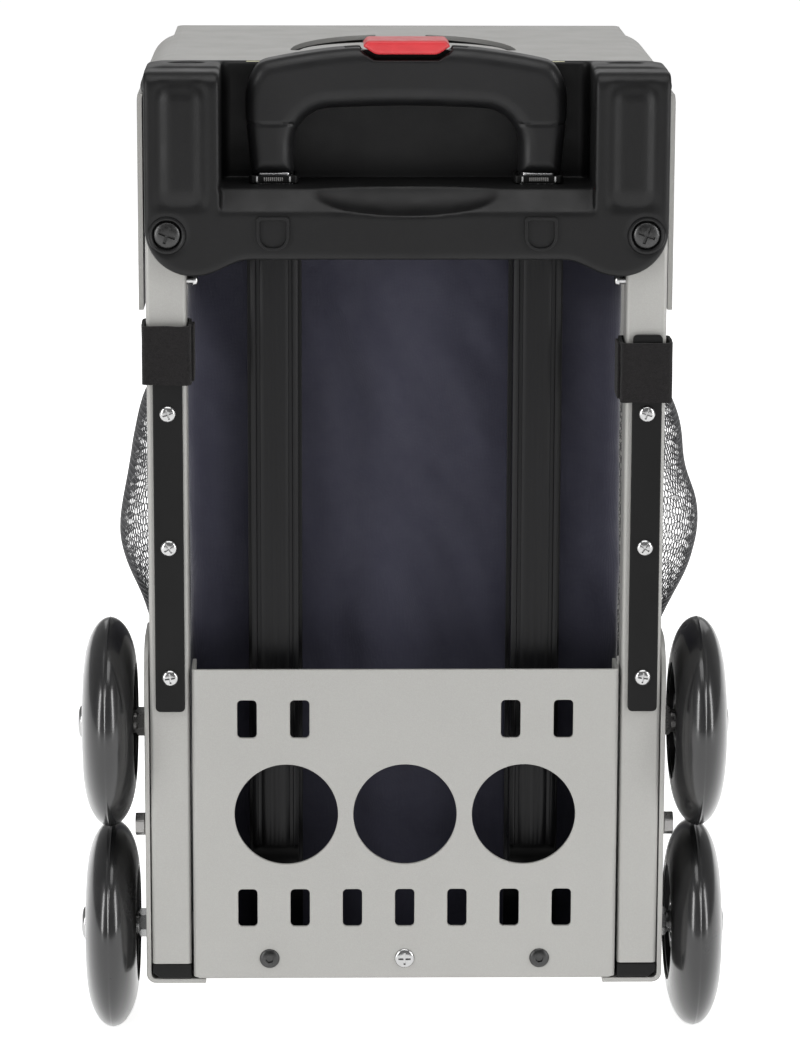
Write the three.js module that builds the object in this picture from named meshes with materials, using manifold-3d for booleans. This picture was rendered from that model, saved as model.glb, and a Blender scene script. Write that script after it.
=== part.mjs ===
// Wheeled seat bag: an aluminium frame with a flat seat, a two-stage telescoping handle,
// two pairs of stacked wheels and a fabric bag held inside the frame. Millimetres, +Z up.
// The rear, where the handle is, faces -Y. Pieces are drawn with y = 0 at the rear face of
// the kick plate, and the whole model is then centred front to back.
import * as THREE from 'three';
import { mergeVertices } from 'three/addons/utils/BufferGeometryUtils.js';
import Module from 'manifold-3d';

const wasm = await Module();
wasm.setup();

// ---------------------------------------------------------------- driving dimensions
const GAP = 0.3;                    // clearance between touching pieces
const CENTRE_Y = 119.5;             // middle of the depth, from the kick plate's rear face
const SIDES = [['left', -1], ['right', 1]];

const POST = { x: 121.05, w: 20.4, y0: 2, y1: 22, z0: 45.8, z1: 497, wall: 2 };
const HOOP = { y1: 245, z0: 38.5, z1: 499.5, depth: 20, bend: 34, topRear: 50.5 };
const SHEET = 2.5;                  // seat and bracket plates
const THIN = 2;                     // kick plate and base tray

const WHEEL = { x: 153.4, r: 55, halfWidth: 13.5, sideR: 28, hubR: 31 };
const AXLES = [['upper', 38, 166.9], ['lower', 44, 55]];
const BEARING = { outerR: 11, boreR: 4.1, width: 7, faceX: 11 };
const AXLE_R = 3.9;
const BRACKET = { x0: 131.8, x1: 134.3, y0: 3, y1: 78, z0: 34.8, z1: 217, flangeX: 103.5 };
const BRACKET_BOLT = { y: 12, z: 118.8 };

const KICK = { halfW: 109.7, z0: 38.9, z1: 204.2, flange: 24, bend: 3 };
const KICK_HOLE = { r: 26.7, pitch: 61.3, z: 127 };
const SLOT = { w: 10, h: 20, r: 2, pitch: 27.13, topZ: 177.9, lowZ: 76.7 };
const KICK_SCREW = { r: 2.8, x: 70.2, z: 49.2 };

const TRAY = { halfW: 109, rearHalfW: 107.2, y0: 2.3, y1: 248.8, z0: 37.8, rearTop: 62,
  sideTop: 50 };
const SEAT = { halfW: 135.5, top: 510.7, low: 387.5, y0: 20, topY0: 50.3, y1: 256, bend: 17.5,
  noseHalfW: 123, noseY: 198, lip: 25 };
const HAND_SLOT = { tipX: 59, tipY: 106, reach: 90, innerX: 54.5, innerY: 101, innerReach: 52,
  bridge: 13.5 };

const HOUSING = { halfW: 131.3, capHalfW: 134.4, y0: -5.5, y1: 50, z1: 510.2, beamLow: 416.5,
  lobeX: 107, lobeLow: 408, wall: 3, capLow: 497.6 };
const RECESS = { halfW: 93.5, floor: 448.5, lipLow: 440, back: 46.5 };

const RAIL = { x: 67, y: 32, w: 24, d: 20, z0: 104, z1: 445.5, wall: 1.6 };
const MID = { w: 20, d: 16, z0: 106, z1: 455.7, wall: 1.2 };
const INNER = { w: 16.8, d: 12.8, z0: 108, z1: 486, wall: 1.4 };
const ROD = { r: 2.4, z0: 111, z1: 498.7 };
const GRIP = { halfW: 80.5, legIn: 57, low: 456.3, top: 520, crown: 6, innerTop: 492,
  outerBend: 26, innerBend: 15, depth: 26, edge: 4 };
const BUTTON = { topHalfW: 20, midHalfW: 22, lowHalfW: 15.5, low: 515.2, mid: 520.2, top: 523.7,
  travel: 2.5 };

const STRIP = { x: 121.8, w: 15, y0: -1.2, z0: 182, z1: 378 };
const FOOT = { x: 121.05, y: 222, topR: 11.5, lowR: 15 };
const BAG = { halfW: 110.3, y0: 50.6, y1: 246, z0: 40.4, z1: 500, wall: 4, corner: 24 };
const FLAP = { halfW: 104, z0: 50.3, z1: 483, y0: 246.6, thick: 4 };
const POCKET = { y: 138, z: 262, ry: 74, rz: 84, top: 331, wall: 2.4, reachLeft: 43.7,
  reachRight: 52.7 };

// ---------------------------------------------------------------- materials
const finish = (color, roughness, metalness) =>
  new THREE.MeshStandardMaterial({ color, roughness, metalness });
const MAT = {
  alloy: finish(0xb1b1ac, 0.45, 0.6),
  steel: finish(0xc8c8c8, 0.25, 1),
  zinc: finish(0x55565a, 0.4, 0.9),
  plastic: finish(0x2c2c2d, 0.5, 0),
  button: finish(0xc8343a, 0.35, 0),
  tube: finish(0x232323, 0.35, 0.5),
  tyre: finish(0x3a3a3c, 0.25, 0),
  hub: finish(0x151515, 0.5, 0),
  fabric: finish(0x26263a, 0.9, 0),
  mesh: finish(0x4a4a4a, 0.9, 0),
  strap: finish(0x1c1c1c, 0.95, 0),
};

// ---------------------------------------------------------------- solids and booleans
const toSolid = (geometry) => {
  const bare = geometry.clone();
  bare.deleteAttribute('normal');
  bare.deleteAttribute('uv');
  const merged = mergeVertices(bare, 1e-4);
  return new wasm.Manifold(new wasm.Mesh({
    numProp: 3,
    vertProperties: new Float32Array(merged.attributes.position.array),
    triVerts: new Uint32Array(merged.index.array),
  }));
};
const toGeometry = (solid) => {
  const mesh = solid.getMesh();
  const geometry = new THREE.BufferGeometry();
  geometry.setAttribute('position', new THREE.BufferAttribute(mesh.vertProperties, 3));
  geometry.setIndex(new THREE.BufferAttribute(mesh.triVerts, 1));
  const flat = geometry.toNonIndexed();
  flat.computeVertexNormals();
  return flat;
};
const join = (...parts) => toGeometry(parts.map(toSolid).reduce((a, b) => a.add(b)));
const cut = (base, ...tools) =>
  toGeometry(tools.map(toSolid).reduce((a, b) => a.subtract(b), toSolid(base)));
const common = (a, b) => toGeometry(toSolid(a).intersect(toSolid(b)));

const box = (x0, x1, y0, y1, z0, z1) =>
  new THREE.BoxGeometry(x1 - x0, y1 - y0, z1 - z0)
    .translate((x0 + x1) / 2, (y0 + y1) / 2, (z0 + z1) / 2);
const extrude = (shape, depth, curveSegments) =>
  new THREE.ExtrudeGeometry(shape, { depth, bevelEnabled: false, curveSegments });
const axes = {
  x: new THREE.Matrix4().set(0, 0, 1, 0, 1, 0, 0, 0, 0, 1, 0, 0, 0, 0, 0, 1),
  y: new THREE.Matrix4().set(1, 0, 0, 0, 0, 0, -1, 0, 0, 1, 0, 0, 0, 0, 0, 1),
};
// A shape drawn in (y, z) and run along X, in (x, z) along Y, or in (x, y) along Z.
const alongX = (shape, x0, x1, segments = 6) =>
  extrude(shape, x1 - x0, segments).applyMatrix4(axes.x).translate(x0, 0, 0);
const alongY = (shape, y0, y1, segments = 6) =>
  extrude(shape, y1 - y0, segments).applyMatrix4(axes.y).translate(0, y1, 0);
const alongZ = (shape, z0, z1, segments = 6) =>
  extrude(shape, z1 - z0, segments).translate(0, 0, z0);
const rodX = (y, z, r, x0, x1, segments = 24) =>
  new THREE.CylinderGeometry(r, r, x1 - x0, segments).rotateZ(-Math.PI / 2)
    .translate((x0 + x1) / 2, y, z);
const rodY = (x, z, r, y0, y1, segments = 24) =>
  new THREE.CylinderGeometry(r, r, y1 - y0, segments).translate(x, (y0 + y1) / 2, z);
const rodZ = (x, y, r, z0, z1, segments = 16) =>
  new THREE.CylinderGeometry(r, r, z1 - z0, segments).rotateX(Math.PI / 2)
    .translate(x, y, (z0 + z1) / 2);
// A profile of [radius, x] points, turned about a line along X through (y, z).
const turned = (points, segments) =>
  new THREE.LatheGeometry(points.map(([r, x]) => new THREE.Vector2(r, x)), segments)
    .rotateZ(-Math.PI / 2);
const mirrorX = (geometry) => toGeometry(toSolid(geometry).mirror([1, 0, 0]));
const forSide = (geometry, sign) => (sign > 0 ? geometry : mirrorX(geometry));

const roundedRect = (x0, x1, y0, y1, r) => {
  const shape = new THREE.Shape();
  shape.moveTo(x0 + r, y0);
  shape.lineTo(x1 - r, y0);
  shape.absarc(x1 - r, y0 + r, r, -Math.PI / 2, 0, false);
  shape.lineTo(x1, y1 - r);
  shape.absarc(x1 - r, y1 - r, r, 0, Math.PI / 2, false);
  shape.lineTo(x0 + r, y1);
  shape.absarc(x0 + r, y1 - r, r, Math.PI / 2, Math.PI, false);
  shape.lineTo(x0, y0 + r);
  shape.absarc(x0 + r, y0 + r, r, Math.PI, 1.5 * Math.PI, false);
  return shape;
};
const polygon = (points) => new THREE.Shape(points.map(([a, b]) => new THREE.Vector2(a, b)));
const rectTube = (x, y, w, d, z0, z1, wall) => {
  const shape = roundedRect(x - w / 2, x + w / 2, y - d / 2, y + d / 2, 2);
  shape.holes.push(roundedRect(x - w / 2 + wall, x + w / 2 - wall,
    y - d / 2 + wall, y + d / 2 - wall, 1));
  return alongZ(shape, z0, z1, 2);
};

// ---------------------------------------------------------------- scene graph
const bag = new THREE.Group();
bag.name = 'seat_bag';
bag.position.y = -CENTRE_Y;
const groups = {};
for (const name of ['frame', 'handle', 'wheels', 'soft_goods']) {
  groups[name] = new THREE.Group();
  bag.add(groups[name]);
}
const place = (group, name, geometry, material, at = [0, 0, 0]) => {
  const mesh = new THREE.Mesh(geometry, material);
  mesh.name = name;
  mesh.position.set(...at);
  groups[group].add(mesh);
};

// ---------------------------------------------------------------- frame
const postX0 = POST.x - POST.w / 2;
const postX1 = POST.x + POST.w / 2;

function rearPost() {
  const yMid = (POST.y0 + POST.y1) / 2;
  const tube = rectTube(POST.x, yMid, POST.w, POST.y1 - POST.y0, POST.z0, POST.z1, POST.wall);
  const boltHole = rodX(BRACKET_BOLT.y, BRACKET_BOLT.z, 3.5, POST.x, postX1 + 1, 16);
  return cut(tube, boltHole);
}

function postPlug() {
  const cap = alongY(polygon([[postX0, 37.9], [postX1 - 4, 37.9], [postX1, 41],
    [postX1, POST.z0 - GAP], [postX0, POST.z0 - GAP]]), POST.y0, POST.y1);
  const inset = POST.wall + GAP;
  const stub = box(postX0 + inset, postX1 - inset, POST.y0 + inset, POST.y1 - inset,
    POST.z0 - 2, POST.z0 + 16);
  return join(cap, stub);
}

// The C outline of a side hoop in (y, z), pulled in by the given wall.
function hoopOutline(wall) {
  const { y1, z0, z1, depth, bend, topRear } = HOOP;
  const open = wall > 0 ? 1 : 0;
  const rear = POST.y1 + GAP - open;
  const outer = bend - wall;
  const inner = bend - depth + wall;
  const shape = new THREE.Shape();
  shape.moveTo(rear, z0 + wall);
  shape.lineTo(y1 - bend, z0 + wall);
  shape.absarc(y1 - bend, z0 + bend, outer, -Math.PI / 2, 0, false);
  shape.lineTo(y1 - wall, z1 - bend);
  shape.absarc(y1 - bend, z1 - bend, outer, 0, Math.PI / 2, false);
  shape.lineTo(topRear - open, z1 - wall);
  shape.lineTo(topRear - open, z1 - depth + wall);
  shape.lineTo(y1 - bend, z1 - depth + wall);
  shape.absarc(y1 - bend, z1 - bend, inner, Math.PI / 2, 0, true);
  shape.lineTo(y1 - depth + wall, z0 + bend);
  shape.absarc(y1 - bend, z0 + bend, inner, 0, -Math.PI / 2, true);
  shape.lineTo(rear, z0 + depth - wall);
  return shape;
}

function sideHoop() {
  const bar = alongX(hoopOutline(0), postX0, postX1, 5);
  const bore = alongX(hoopOutline(POST.wall), postX0 + POST.wall, postX1 - POST.wall, 5);
  return cut(bar, bore);
}

function wheelBracket() {
  const { x0, x1, y0, y1, z0, z1, flangeX } = BRACKET;
  const section = new THREE.Shape();
  section.moveTo(flangeX, z0);
  section.lineTo(x1 - 5, z0);
  section.absarc(x1 - 5, z0 + 5, 5, -Math.PI / 2, 0, false);
  section.lineTo(x1, z1);
  section.lineTo(x0, z1);
  section.lineTo(x0, z0 + 5);
  section.absarc(x1 - 5, z0 + 5, 5 - SHEET, 0, -Math.PI / 2, true);
  section.lineTo(flangeX, z0 + SHEET);
  const sheet = alongY(section, y0, y1, 4);
  const side = new THREE.Shape();
  side.moveTo(y0, z0 - 1);
  side.lineTo(y1, z0 - 1);
  side.lineTo(y1, z1 - 30);
  side.absarc(y1 - 30, z1 - 30, 30, 0, Math.PI / 2, false);
  side.lineTo(y0 + 22, z1);
  side.absarc(y0 + 22, z1 - 22, 22, Math.PI / 2, Math.PI, false);
  const plate = common(sheet, alongX(side, flangeX - 1, x1 + 1, 5));
  const holes = AXLES.map(([, y, z]) => rodX(y, z, 4.4, x0 - 1, x1 + 1, 20));
  return cut(plate, ...holes, rodX(BRACKET_BOLT.y, BRACKET_BOLT.z, 3.5, x0 - 1, x1 + 1, 16));
}

function bracketBolt() {
  const { y, z } = BRACKET_BOLT;
  const head = rodX(y, z, 6.2, BRACKET.x1 + GAP, BRACKET.x1 + 5.3, 6);
  const shank = rodX(y, z, 3, POST.x + 2, BRACKET.x1 + 2, 16);
  return join(head, shank);
}

function kickPlate() {
  const { halfW, z0, z1, flange, bend } = KICK;
  const section = new THREE.Shape();
  section.moveTo(-halfW, flange);
  section.lineTo(-halfW, bend);
  section.absarc(-halfW + bend, bend, bend, Math.PI, 1.5 * Math.PI, false);
  section.lineTo(halfW - bend, 0);
  section.absarc(halfW - bend, bend, bend, -Math.PI / 2, 0, false);
  section.lineTo(halfW, flange);
  section.lineTo(halfW - THIN, flange);
  section.lineTo(halfW - THIN, bend);
  section.absarc(halfW - bend, bend, bend - THIN, 0, -Math.PI / 2, true);
  section.lineTo(-halfW + bend, THIN);
  section.absarc(-halfW + bend, bend, bend - THIN, 1.5 * Math.PI, Math.PI, true);
  section.lineTo(-halfW + THIN, flange);
  const plate = alongZ(section, z0, z1, 4);
  const tools = [];
  for (const column of [-1, 0, 1]) {
    tools.push(rodY(column * KICK_HOLE.pitch, KICK_HOLE.z, KICK_HOLE.r, -1, THIN + 1, 28));
    tools.push(rodY(column * KICK_SCREW.x, KICK_SCREW.z, KICK_SCREW.r, -1, THIN + 1, 8));
  }
  const slot = (x, z) => tools.push(alongY(
    roundedRect(x - SLOT.w / 2, x + SLOT.w / 2, z - SLOT.h / 2, z + SLOT.h / 2, SLOT.r),
    -1, THIN + 1, 1));
  for (let column = -3; column <= 3; column += 1) {
    slot(column * SLOT.pitch, SLOT.lowZ);
    if (Math.abs(column) >= 2) slot(column * SLOT.pitch, SLOT.topZ);
  }
  return cut(plate, ...tools);
}

function baseTray() {
  const { halfW, rearHalfW, y0, y1, z0, rearTop, sideTop } = TRAY;
  const floor = box(-halfW, halfW, y0, y1, z0, z0 + THIN);
  const rear = box(-halfW, halfW, y0, y0 + THIN, z0, rearTop);
  const front = box(-halfW, halfW, y1 - THIN, y1, z0, sideTop);
  const sides = [-1, 1].map((s) => (s < 0
    ? box(-halfW, -halfW + THIN, y0, y1, z0, sideTop)
    : box(halfW - THIN, halfW, y0, y1, z0, sideTop)));
  const tools = [-1, 0, 1].map((c) =>
    rodY(c * KICK_SCREW.x, KICK_SCREW.z, KICK_SCREW.r, y0 - 1, y0 + THIN + 1, 8));
  tools.push(box(-halfW - 1, -rearHalfW, 0, KICK.flange + GAP, z0 - 1, rearTop + 1));
  tools.push(box(rearHalfW, halfW + 1, 0, KICK.flange + GAP, z0 - 1, rearTop + 1));
  return cut(join(floor, rear, front, ...sides), ...tools);
}

// The inverted U of the seat in (x, z), and its side outline in (y, z), pulled in by a wall.
function seatSolid(wall) {
  const { halfW, top, low, y0, y1, bend } = SEAT;
  const over = wall > 0 ? 1 : 0;
  const r = bend - wall;
  const across = new THREE.Shape();
  across.moveTo(-halfW + wall, low - over);
  across.lineTo(halfW - wall, low - over);
  across.lineTo(halfW - wall, top - bend);
  across.absarc(halfW - bend, top - bend, r, 0, Math.PI / 2, false);
  across.lineTo(-halfW + bend, top - wall);
  across.absarc(-halfW + bend, top - bend, r, Math.PI / 2, Math.PI, false);
  const nose = 8;
  const side = new THREE.Shape();
  side.moveTo(y0 - over, low - over - 1);
  side.lineTo(y1 - wall, low - over - 1);
  side.lineTo(y1 - wall, top - nose);
  side.absarc(y1 - nose, top - nose, nose - wall, 0, Math.PI / 2, false);
  side.lineTo(y0 - over, top - wall);
  return common(alongY(across, y0 - over, y1, 6), alongX(side, -halfW - 1, halfW + 1, 4));
}

function handSlot(sign) {
  const { tipX, tipY, reach, innerX, innerY, innerReach, bridge } = HAND_SLOT;
  const outer = new THREE.Shape();
  outer.absellipse(0, tipY, tipX, reach, 0, Math.PI, false);
  const inner = new THREE.Shape();
  inner.absellipse(0, innerY, innerX, innerReach, 0, Math.PI, false);
  const low = SEAT.top - SHEET - 2;
  const moon = cut(alongZ(outer, low, SEAT.top + 2, 14), alongZ(inner, low - 1, SEAT.top + 3, 12));
  const half = sign > 0 ? box(bridge, 200, 0, 300, 0, 600) : box(-200, -bridge, 0, 300, 0, 600);
  return common(moon, half);
}

function seatPlate() {
  const { halfW, top, low, y0, topY0, y1, noseHalfW, noseY, lip } = SEAT;
  const sheet = cut(seatSolid(0), seatSolid(SHEET));
  const rearTop = box(-halfW - 1, halfW + 1, y0 - 1, topY0, HOUSING.capLow - GAP - 0.3, top + 1);
  const front = box(-halfW - 1, halfW + 1, y1 - 10, y1 + 1, low - 1, top - lip);
  const notches = [-1, 1].map((s) => (s < 0
    ? box(-halfW - 1, -noseHalfW, noseY, y1 + 1, low - 1, top + 1)
    : box(noseHalfW, halfW + 1, noseY, y1 + 1, low - 1, top + 1)));
  return cut(sheet, rearTop, front, ...notches, handSlot(-1), handSlot(1));
}

function frontFoot() {
  const profile = [[0, 0], [FOOT.lowR - 2, 0], [FOOT.lowR, 2], [FOOT.lowR, 6],
    [FOOT.topR, HOOP.z0 - GAP - 4], [FOOT.topR, HOOP.z0 - GAP], [0, HOOP.z0 - GAP]];
  return new THREE.LatheGeometry(profile.map(([r, z]) => new THREE.Vector2(r, z)), 20)
    .rotateX(Math.PI / 2);
}

function guardStrip() {
  const { x, w, y0, z0, z1 } = STRIP;
  return alongY(roundedRect(x - w / 2, x + w / 2, z0, z1, 2), y0, POST.y0 - GAP, 2);
}

place('frame', 'kick_plate', kickPlate(), MAT.alloy);
place('frame', 'base_tray', baseTray(), MAT.alloy);
place('frame', 'seat_plate', seatPlate(), MAT.alloy);
for (const [side, sign] of SIDES) {
  place('frame', `rear_post_${side}`, forSide(rearPost(), sign), MAT.alloy);
  place('frame', `post_plug_${side}`, forSide(postPlug(), sign), MAT.plastic);
  place('frame', `side_hoop_${side}`, forSide(sideHoop(), sign), MAT.alloy);
  place('frame', `wheel_bracket_${side}`, forSide(wheelBracket(), sign), MAT.alloy);
  place('frame', `bracket_bolt_${side}`, forSide(bracketBolt(), sign), MAT.zinc);
  place('frame', `guard_strip_${side}`, forSide(guardStrip(), sign), MAT.plastic);
  place('frame', `front_foot_${side}`, frontFoot(), MAT.plastic,
    [sign * FOOT.x, FOOT.y, 0]);
}

// ---------------------------------------------------------------- handle housing
// Rear outline in (x, z): straight sides, a round lobe at each lower corner, a flat beam between.
function housingOutline() {
  const { halfW, z1, beamLow, lobeX, lobeLow } = HOUSING;
  const lobeR = halfW - lobeX;
  const shape = new THREE.Shape();
  shape.moveTo(80, beamLow);
  shape.quadraticCurveTo(92, beamLow, 98, lobeLow + 2.5);
  shape.quadraticCurveTo(102, lobeLow, lobeX, lobeLow);
  shape.absarc(lobeX, lobeLow + lobeR, lobeR, -Math.PI / 2, 0, false);
  shape.lineTo(halfW, z1);
  shape.lineTo(-halfW, z1);
  shape.lineTo(-halfW, lobeLow + lobeR);
  shape.absarc(-lobeX, lobeLow + lobeR, lobeR, Math.PI, 1.5 * Math.PI, false);
  shape.quadraticCurveTo(-102, lobeLow, -98, lobeLow + 2.5);
  shape.quadraticCurveTo(-92, beamLow, -80, beamLow);
  return shape;
}

function handleHousing() {
  const { halfW, capHalfW, y0, y1, z1, beamLow, wall, capLow } = HOUSING;
  const edge = 10;
  const profile = new THREE.Shape();
  profile.moveTo(y0, 400);
  profile.lineTo(y1, 400);
  profile.lineTo(y1, z1);
  profile.lineTo(y0 + edge, z1);
  profile.absarc(y0 + edge, z1 - edge, edge, Math.PI / 2, Math.PI, false);
  const body = common(alongY(housingOutline(), y0, y1, 5), alongX(profile, -140, 140, 5));
  const capSection = roundedRect(-capHalfW, capHalfW, z1 - 60, z1, 14);
  const cap = common(alongY(capSection, 20, y1, 5), box(-200, 200, 20, y1, capLow, z1 + 1));
  const shell = join(body, cap);

  const tools = [];
  const { halfW: recessW, floor, lipLow, back } = RECESS;
  tools.push(box(-recessW, recessW, y0 - 1, back, floor, z1 + 1));
  tools.push(alongX(polygon([[y0 - 1, lipLow - 1], [y0 + 12, floor + 0.1], [y0 - 1, floor + 0.1]]),
    -recessW, recessW));
  // Beam hollow and its rail holes.
  tools.push(box(-recessW + wall, recessW - wall, POST.y0 + 10, y1 + 1, beamLow + wall, floor - wall));
  for (const s of [-1, 1]) {
    const w = RAIL.w / 2 + GAP;
    const d = RAIL.d / 2 + GAP;
    tools.push(box(s * RAIL.x - w, s * RAIL.x + w, RAIL.y - d, RAIL.y + d, 400, floor - wall));
    tools.push(box(s * RAIL.x - 10.5, s * RAIL.x + 10.5, RAIL.y - 8.5, RAIL.y + 8.5, 400, floor + 1));
    tools.push(box(s * RAIL.x - 14.5, s * RAIL.x + 14.5, RAIL.y + d - 1, y1 + 1, 400, floor - wall));
  }
  // Pod hollows, open to the front, and the notch that each post stands in.
  for (const s of [-1, 1]) {
    const span = (a, b, ...rest) => (s > 0 ? box(a, b, ...rest) : box(-b, -a, ...rest));
    tools.push(span(recessW + wall, postX0 - 2, y0 + wall + 1, y1 + 1, 424, z1 - wall));
    tools.push(span(postX0 - GAP, postX1 + 10, POST.y0 - GAP, POST.y1 + GAP, 400, POST.z1 + GAP));
    tools.push(span(postX0 - 2, halfW - wall, POST.y1 + GAP + 2, y1 + 1, 424, z1 - wall));
  }
  return cut(shell, ...tools);
}

place('handle', 'handle_housing', handleHousing(), MAT.plastic);

// ---------------------------------------------------------------- telescoping handle
function gripOutline() {
  const { halfW, legIn, low, top, crown, innerTop, outerBend, innerBend } = GRIP;
  const shape = new THREE.Shape();
  shape.moveTo(legIn, low);
  shape.lineTo(halfW - 2.5, low);
  shape.lineTo(halfW, low + 30);
  shape.lineTo(halfW, top - crown - outerBend);
  shape.quadraticCurveTo(halfW, top - crown, halfW - outerBend, top - crown);
  shape.quadraticCurveTo(30, top, 0, top);
  shape.quadraticCurveTo(-30, top, -halfW + outerBend, top - crown);
  shape.quadraticCurveTo(-halfW, top - crown, -halfW, top - crown - outerBend);
  shape.lineTo(-halfW, low + 30);
  shape.lineTo(-halfW + 2.5, low);
  shape.lineTo(-legIn, low);
  shape.lineTo(-legIn, innerTop - innerBend);
  shape.absarc(-legIn + innerBend, innerTop - innerBend, innerBend, Math.PI, Math.PI / 2, true);
  shape.lineTo(legIn - innerBend, innerTop);
  shape.absarc(legIn - innerBend, innerTop - innerBend, innerBend, Math.PI / 2, 0, true);
  return shape;
}

function buttonOutline(grow, drop) {
  const { topHalfW, midHalfW, lowHalfW, low, mid, top } = BUTTON;
  return polygon([[-lowHalfW - grow, low - drop - grow], [lowHalfW + grow, low - drop - grow],
    [midHalfW + grow, mid - drop], [midHalfW + grow, top], [-midHalfW - grow, top],
    [-midHalfW - grow, mid - drop]].map(([x, z]) => (z === top && grow === 0
    ? [Math.sign(x) * topHalfW, top] : [x, z])));
}

function grip() {
  const half = GRIP.depth / 2;
  const inset = GRIP.edge;
  const core = new THREE.ExtrudeGeometry(gripOutline(), { depth: GRIP.depth - 2 * inset,
    bevelEnabled: true, bevelThickness: inset, bevelSize: inset, bevelOffset: -inset,
    bevelSegments: 1, curveSegments: 5 }).applyMatrix4(axes.y)
    .translate(0, RAIL.y + half - inset, 0);
  const tools = [];
  for (const s of [-1, 1]) {
    tools.push(box(s * RAIL.x - INNER.w / 2 - GAP, s * RAIL.x + INNER.w / 2 + GAP,
      RAIL.y - INNER.d / 2 - GAP, RAIL.y + INNER.d / 2 + GAP, GRIP.low - 1, INNER.z1 + GAP));
    tools.push(box(s * RAIL.x - 4, s * RAIL.x + 4, RAIL.y - 4, RAIL.y + 4, INNER.z1 - 1, 504));
  }
  tools.push(box(-RAIL.x - 4, RAIL.x + 4, RAIL.y - 4, RAIL.y + 4, 495.5, 504));
  tools.push(box(-9, 9, RAIL.y - 4, RAIL.y + 4, 500, 516));
  tools.push(alongY(buttonOutline(GAP, BUTTON.travel + GAP), RAIL.y - half - 2, RAIL.y + half + 2));
  return cut(core, ...tools);
}

function releaseButton() {
  const half = GRIP.depth / 2;
  const cap = alongY(buttonOutline(0, 0), RAIL.y - half - 0.4, RAIL.y + half + 0.4);
  const stem = box(-8, 8, RAIL.y - 3, RAIL.y + 3, 499, BUTTON.low + 2);
  const yoke = box(-RAIL.x - 3, RAIL.x + 3, RAIL.y - 3, RAIL.y + 3, 499, 503);
  return join(cap, stem, yoke);
}

place('handle', 'grip', grip(), MAT.plastic);
place('handle', 'release_button', releaseButton(), MAT.button);
for (const [side, sign] of SIDES) {
  const x = sign * RAIL.x;
  place('handle', `rail_${side}`,
    rectTube(x, RAIL.y, RAIL.w, RAIL.d, RAIL.z0, RAIL.z1, RAIL.wall), MAT.tube);
  place('handle', `rail_plug_${side}`, join(
    alongX(roundedRect(RAIL.y - RAIL.d / 2, RAIL.y + RAIL.d / 2, RAIL.z0 - 14, RAIL.z0 - GAP, 6),
      x - RAIL.w / 2, x + RAIL.w / 2, 3),
    box(x - 9.8, x + 9.8, RAIL.y - 7.8, RAIL.y + 7.8, RAIL.z0 - 5, RAIL.z0 + 1.4)), MAT.plastic);
  place('handle', `rail_backing_${side}`,
    box(x - 14, x + 14, RAIL.y + RAIL.d / 2 + GAP, RAIL.y + RAIL.d / 2 + GAP + THIN,
      TRAY.z0 + THIN + GAP, 444), MAT.tube);
  place('handle', `mid_tube_${side}`,
    rectTube(x, RAIL.y, MID.w, MID.d, MID.z0, MID.z1, MID.wall), MAT.steel);
  place('handle', `inner_tube_${side}`,
    rectTube(x, RAIL.y, INNER.w, INNER.d, INNER.z0, INNER.z1, INNER.wall), MAT.steel);
  place('handle', `release_rod_${side}`, rodZ(x, RAIL.y, ROD.r, ROD.z0, ROD.z1, 10), MAT.steel);
}

// ---------------------------------------------------------------- wheels
function tyre() {
  const { r, halfWidth, sideR, hubR } = WHEEL;
  const seat = 7.5;
  const points = [];
  const arc = 8;
  const start = Math.asin((hubR - sideR) / (r - sideR));
  for (let i = 0; i <= arc; i += 1) {
    const a = start + (Math.PI - 2 * start) * (i / arc);
    points.push([sideR + (r - sideR) * Math.sin(a), -halfWidth * Math.cos(a)]);
  }
  points.push([hubR, seat], [hubR + 3, seat - 2], [hubR + 3, -seat + 2], [hubR, -seat], points[0]);
  return turned(points, 28);
}

function hub() {
  const rim = WHEEL.hubR - GAP;
  const { outerR, faceX, width } = BEARING;
  const seatR = outerR + GAP;
  const bossX = faceX;
  const profile = [[seatR, bossX], [seatR, faceX - width - GAP], [8, faceX - width - GAP],
    [8, -faceX + width + GAP], [seatR, -faceX + width + GAP], [seatR, -bossX], [14, -bossX],
    [15, -4], [27, -4], [27.5, -12], [rim, -12], [rim, 12], [27.5, 12], [27, 4], [15, 4],
    [14, bossX], [seatR, bossX]];
  return turned(profile, 20);
}

function bearingSet() {
  const { outerR, boreR, width, faceX } = BEARING;
  const inner = faceX - width;
  return turned([[boreR + 0.2, faceX], [boreR + 0.2, -faceX], [outerR, -faceX], [outerR, -inner],
    [boreR + 2, -inner], [boreR + 2, inner], [outerR, inner], [outerR, faceX],
    [boreR + 0.2, faceX]], 16);
}

// The bolt runs from the bracket out through the wheel; x is measured from the wheel's middle.
function axle() {
  const faceX = BEARING.faceX + GAP;
  const inEnd = 131.7 - WHEEL.x;
  return turned([[0, inEnd], [AXLE_R, inEnd], [AXLE_R, faceX], [6.2, faceX], [6.2, 13.4],
    [8.6, 13.4], [8.6, 14.2], [6.5, 16.2], [0, 16.8]], 16);
}

function axleNut() {
  const inner = BRACKET.x1 + GAP - WHEEL.x;
  const outer = -BEARING.faceX - GAP;
  const hex = rodX(0, 0, 7.6, inner, inner + 5, 6);
  const collar = rodX(0, 0, 6, inner + 2, outer, 16);
  return cut(join(hex, collar), rodX(0, 0, 4.3, inner - 1, outer + 1, 16));
}

const wheelPieces = [['tyre', tyre(), MAT.tyre], ['hub', hub(), MAT.hub],
  ['bearing_set', bearingSet(), MAT.steel], ['axle', axle(), MAT.steel],
  ['axle_nut', axleNut(), MAT.steel]];
for (const [side, sign] of SIDES) {
  for (const [level, y, z] of AXLES) {
    for (const [piece, geometry, material] of wheelPieces) {
      place('wheels', `${piece}_${level}_${side}`, forSide(geometry, sign), material,
        [sign * WHEEL.x, y, z]);
    }
  }
}

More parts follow.
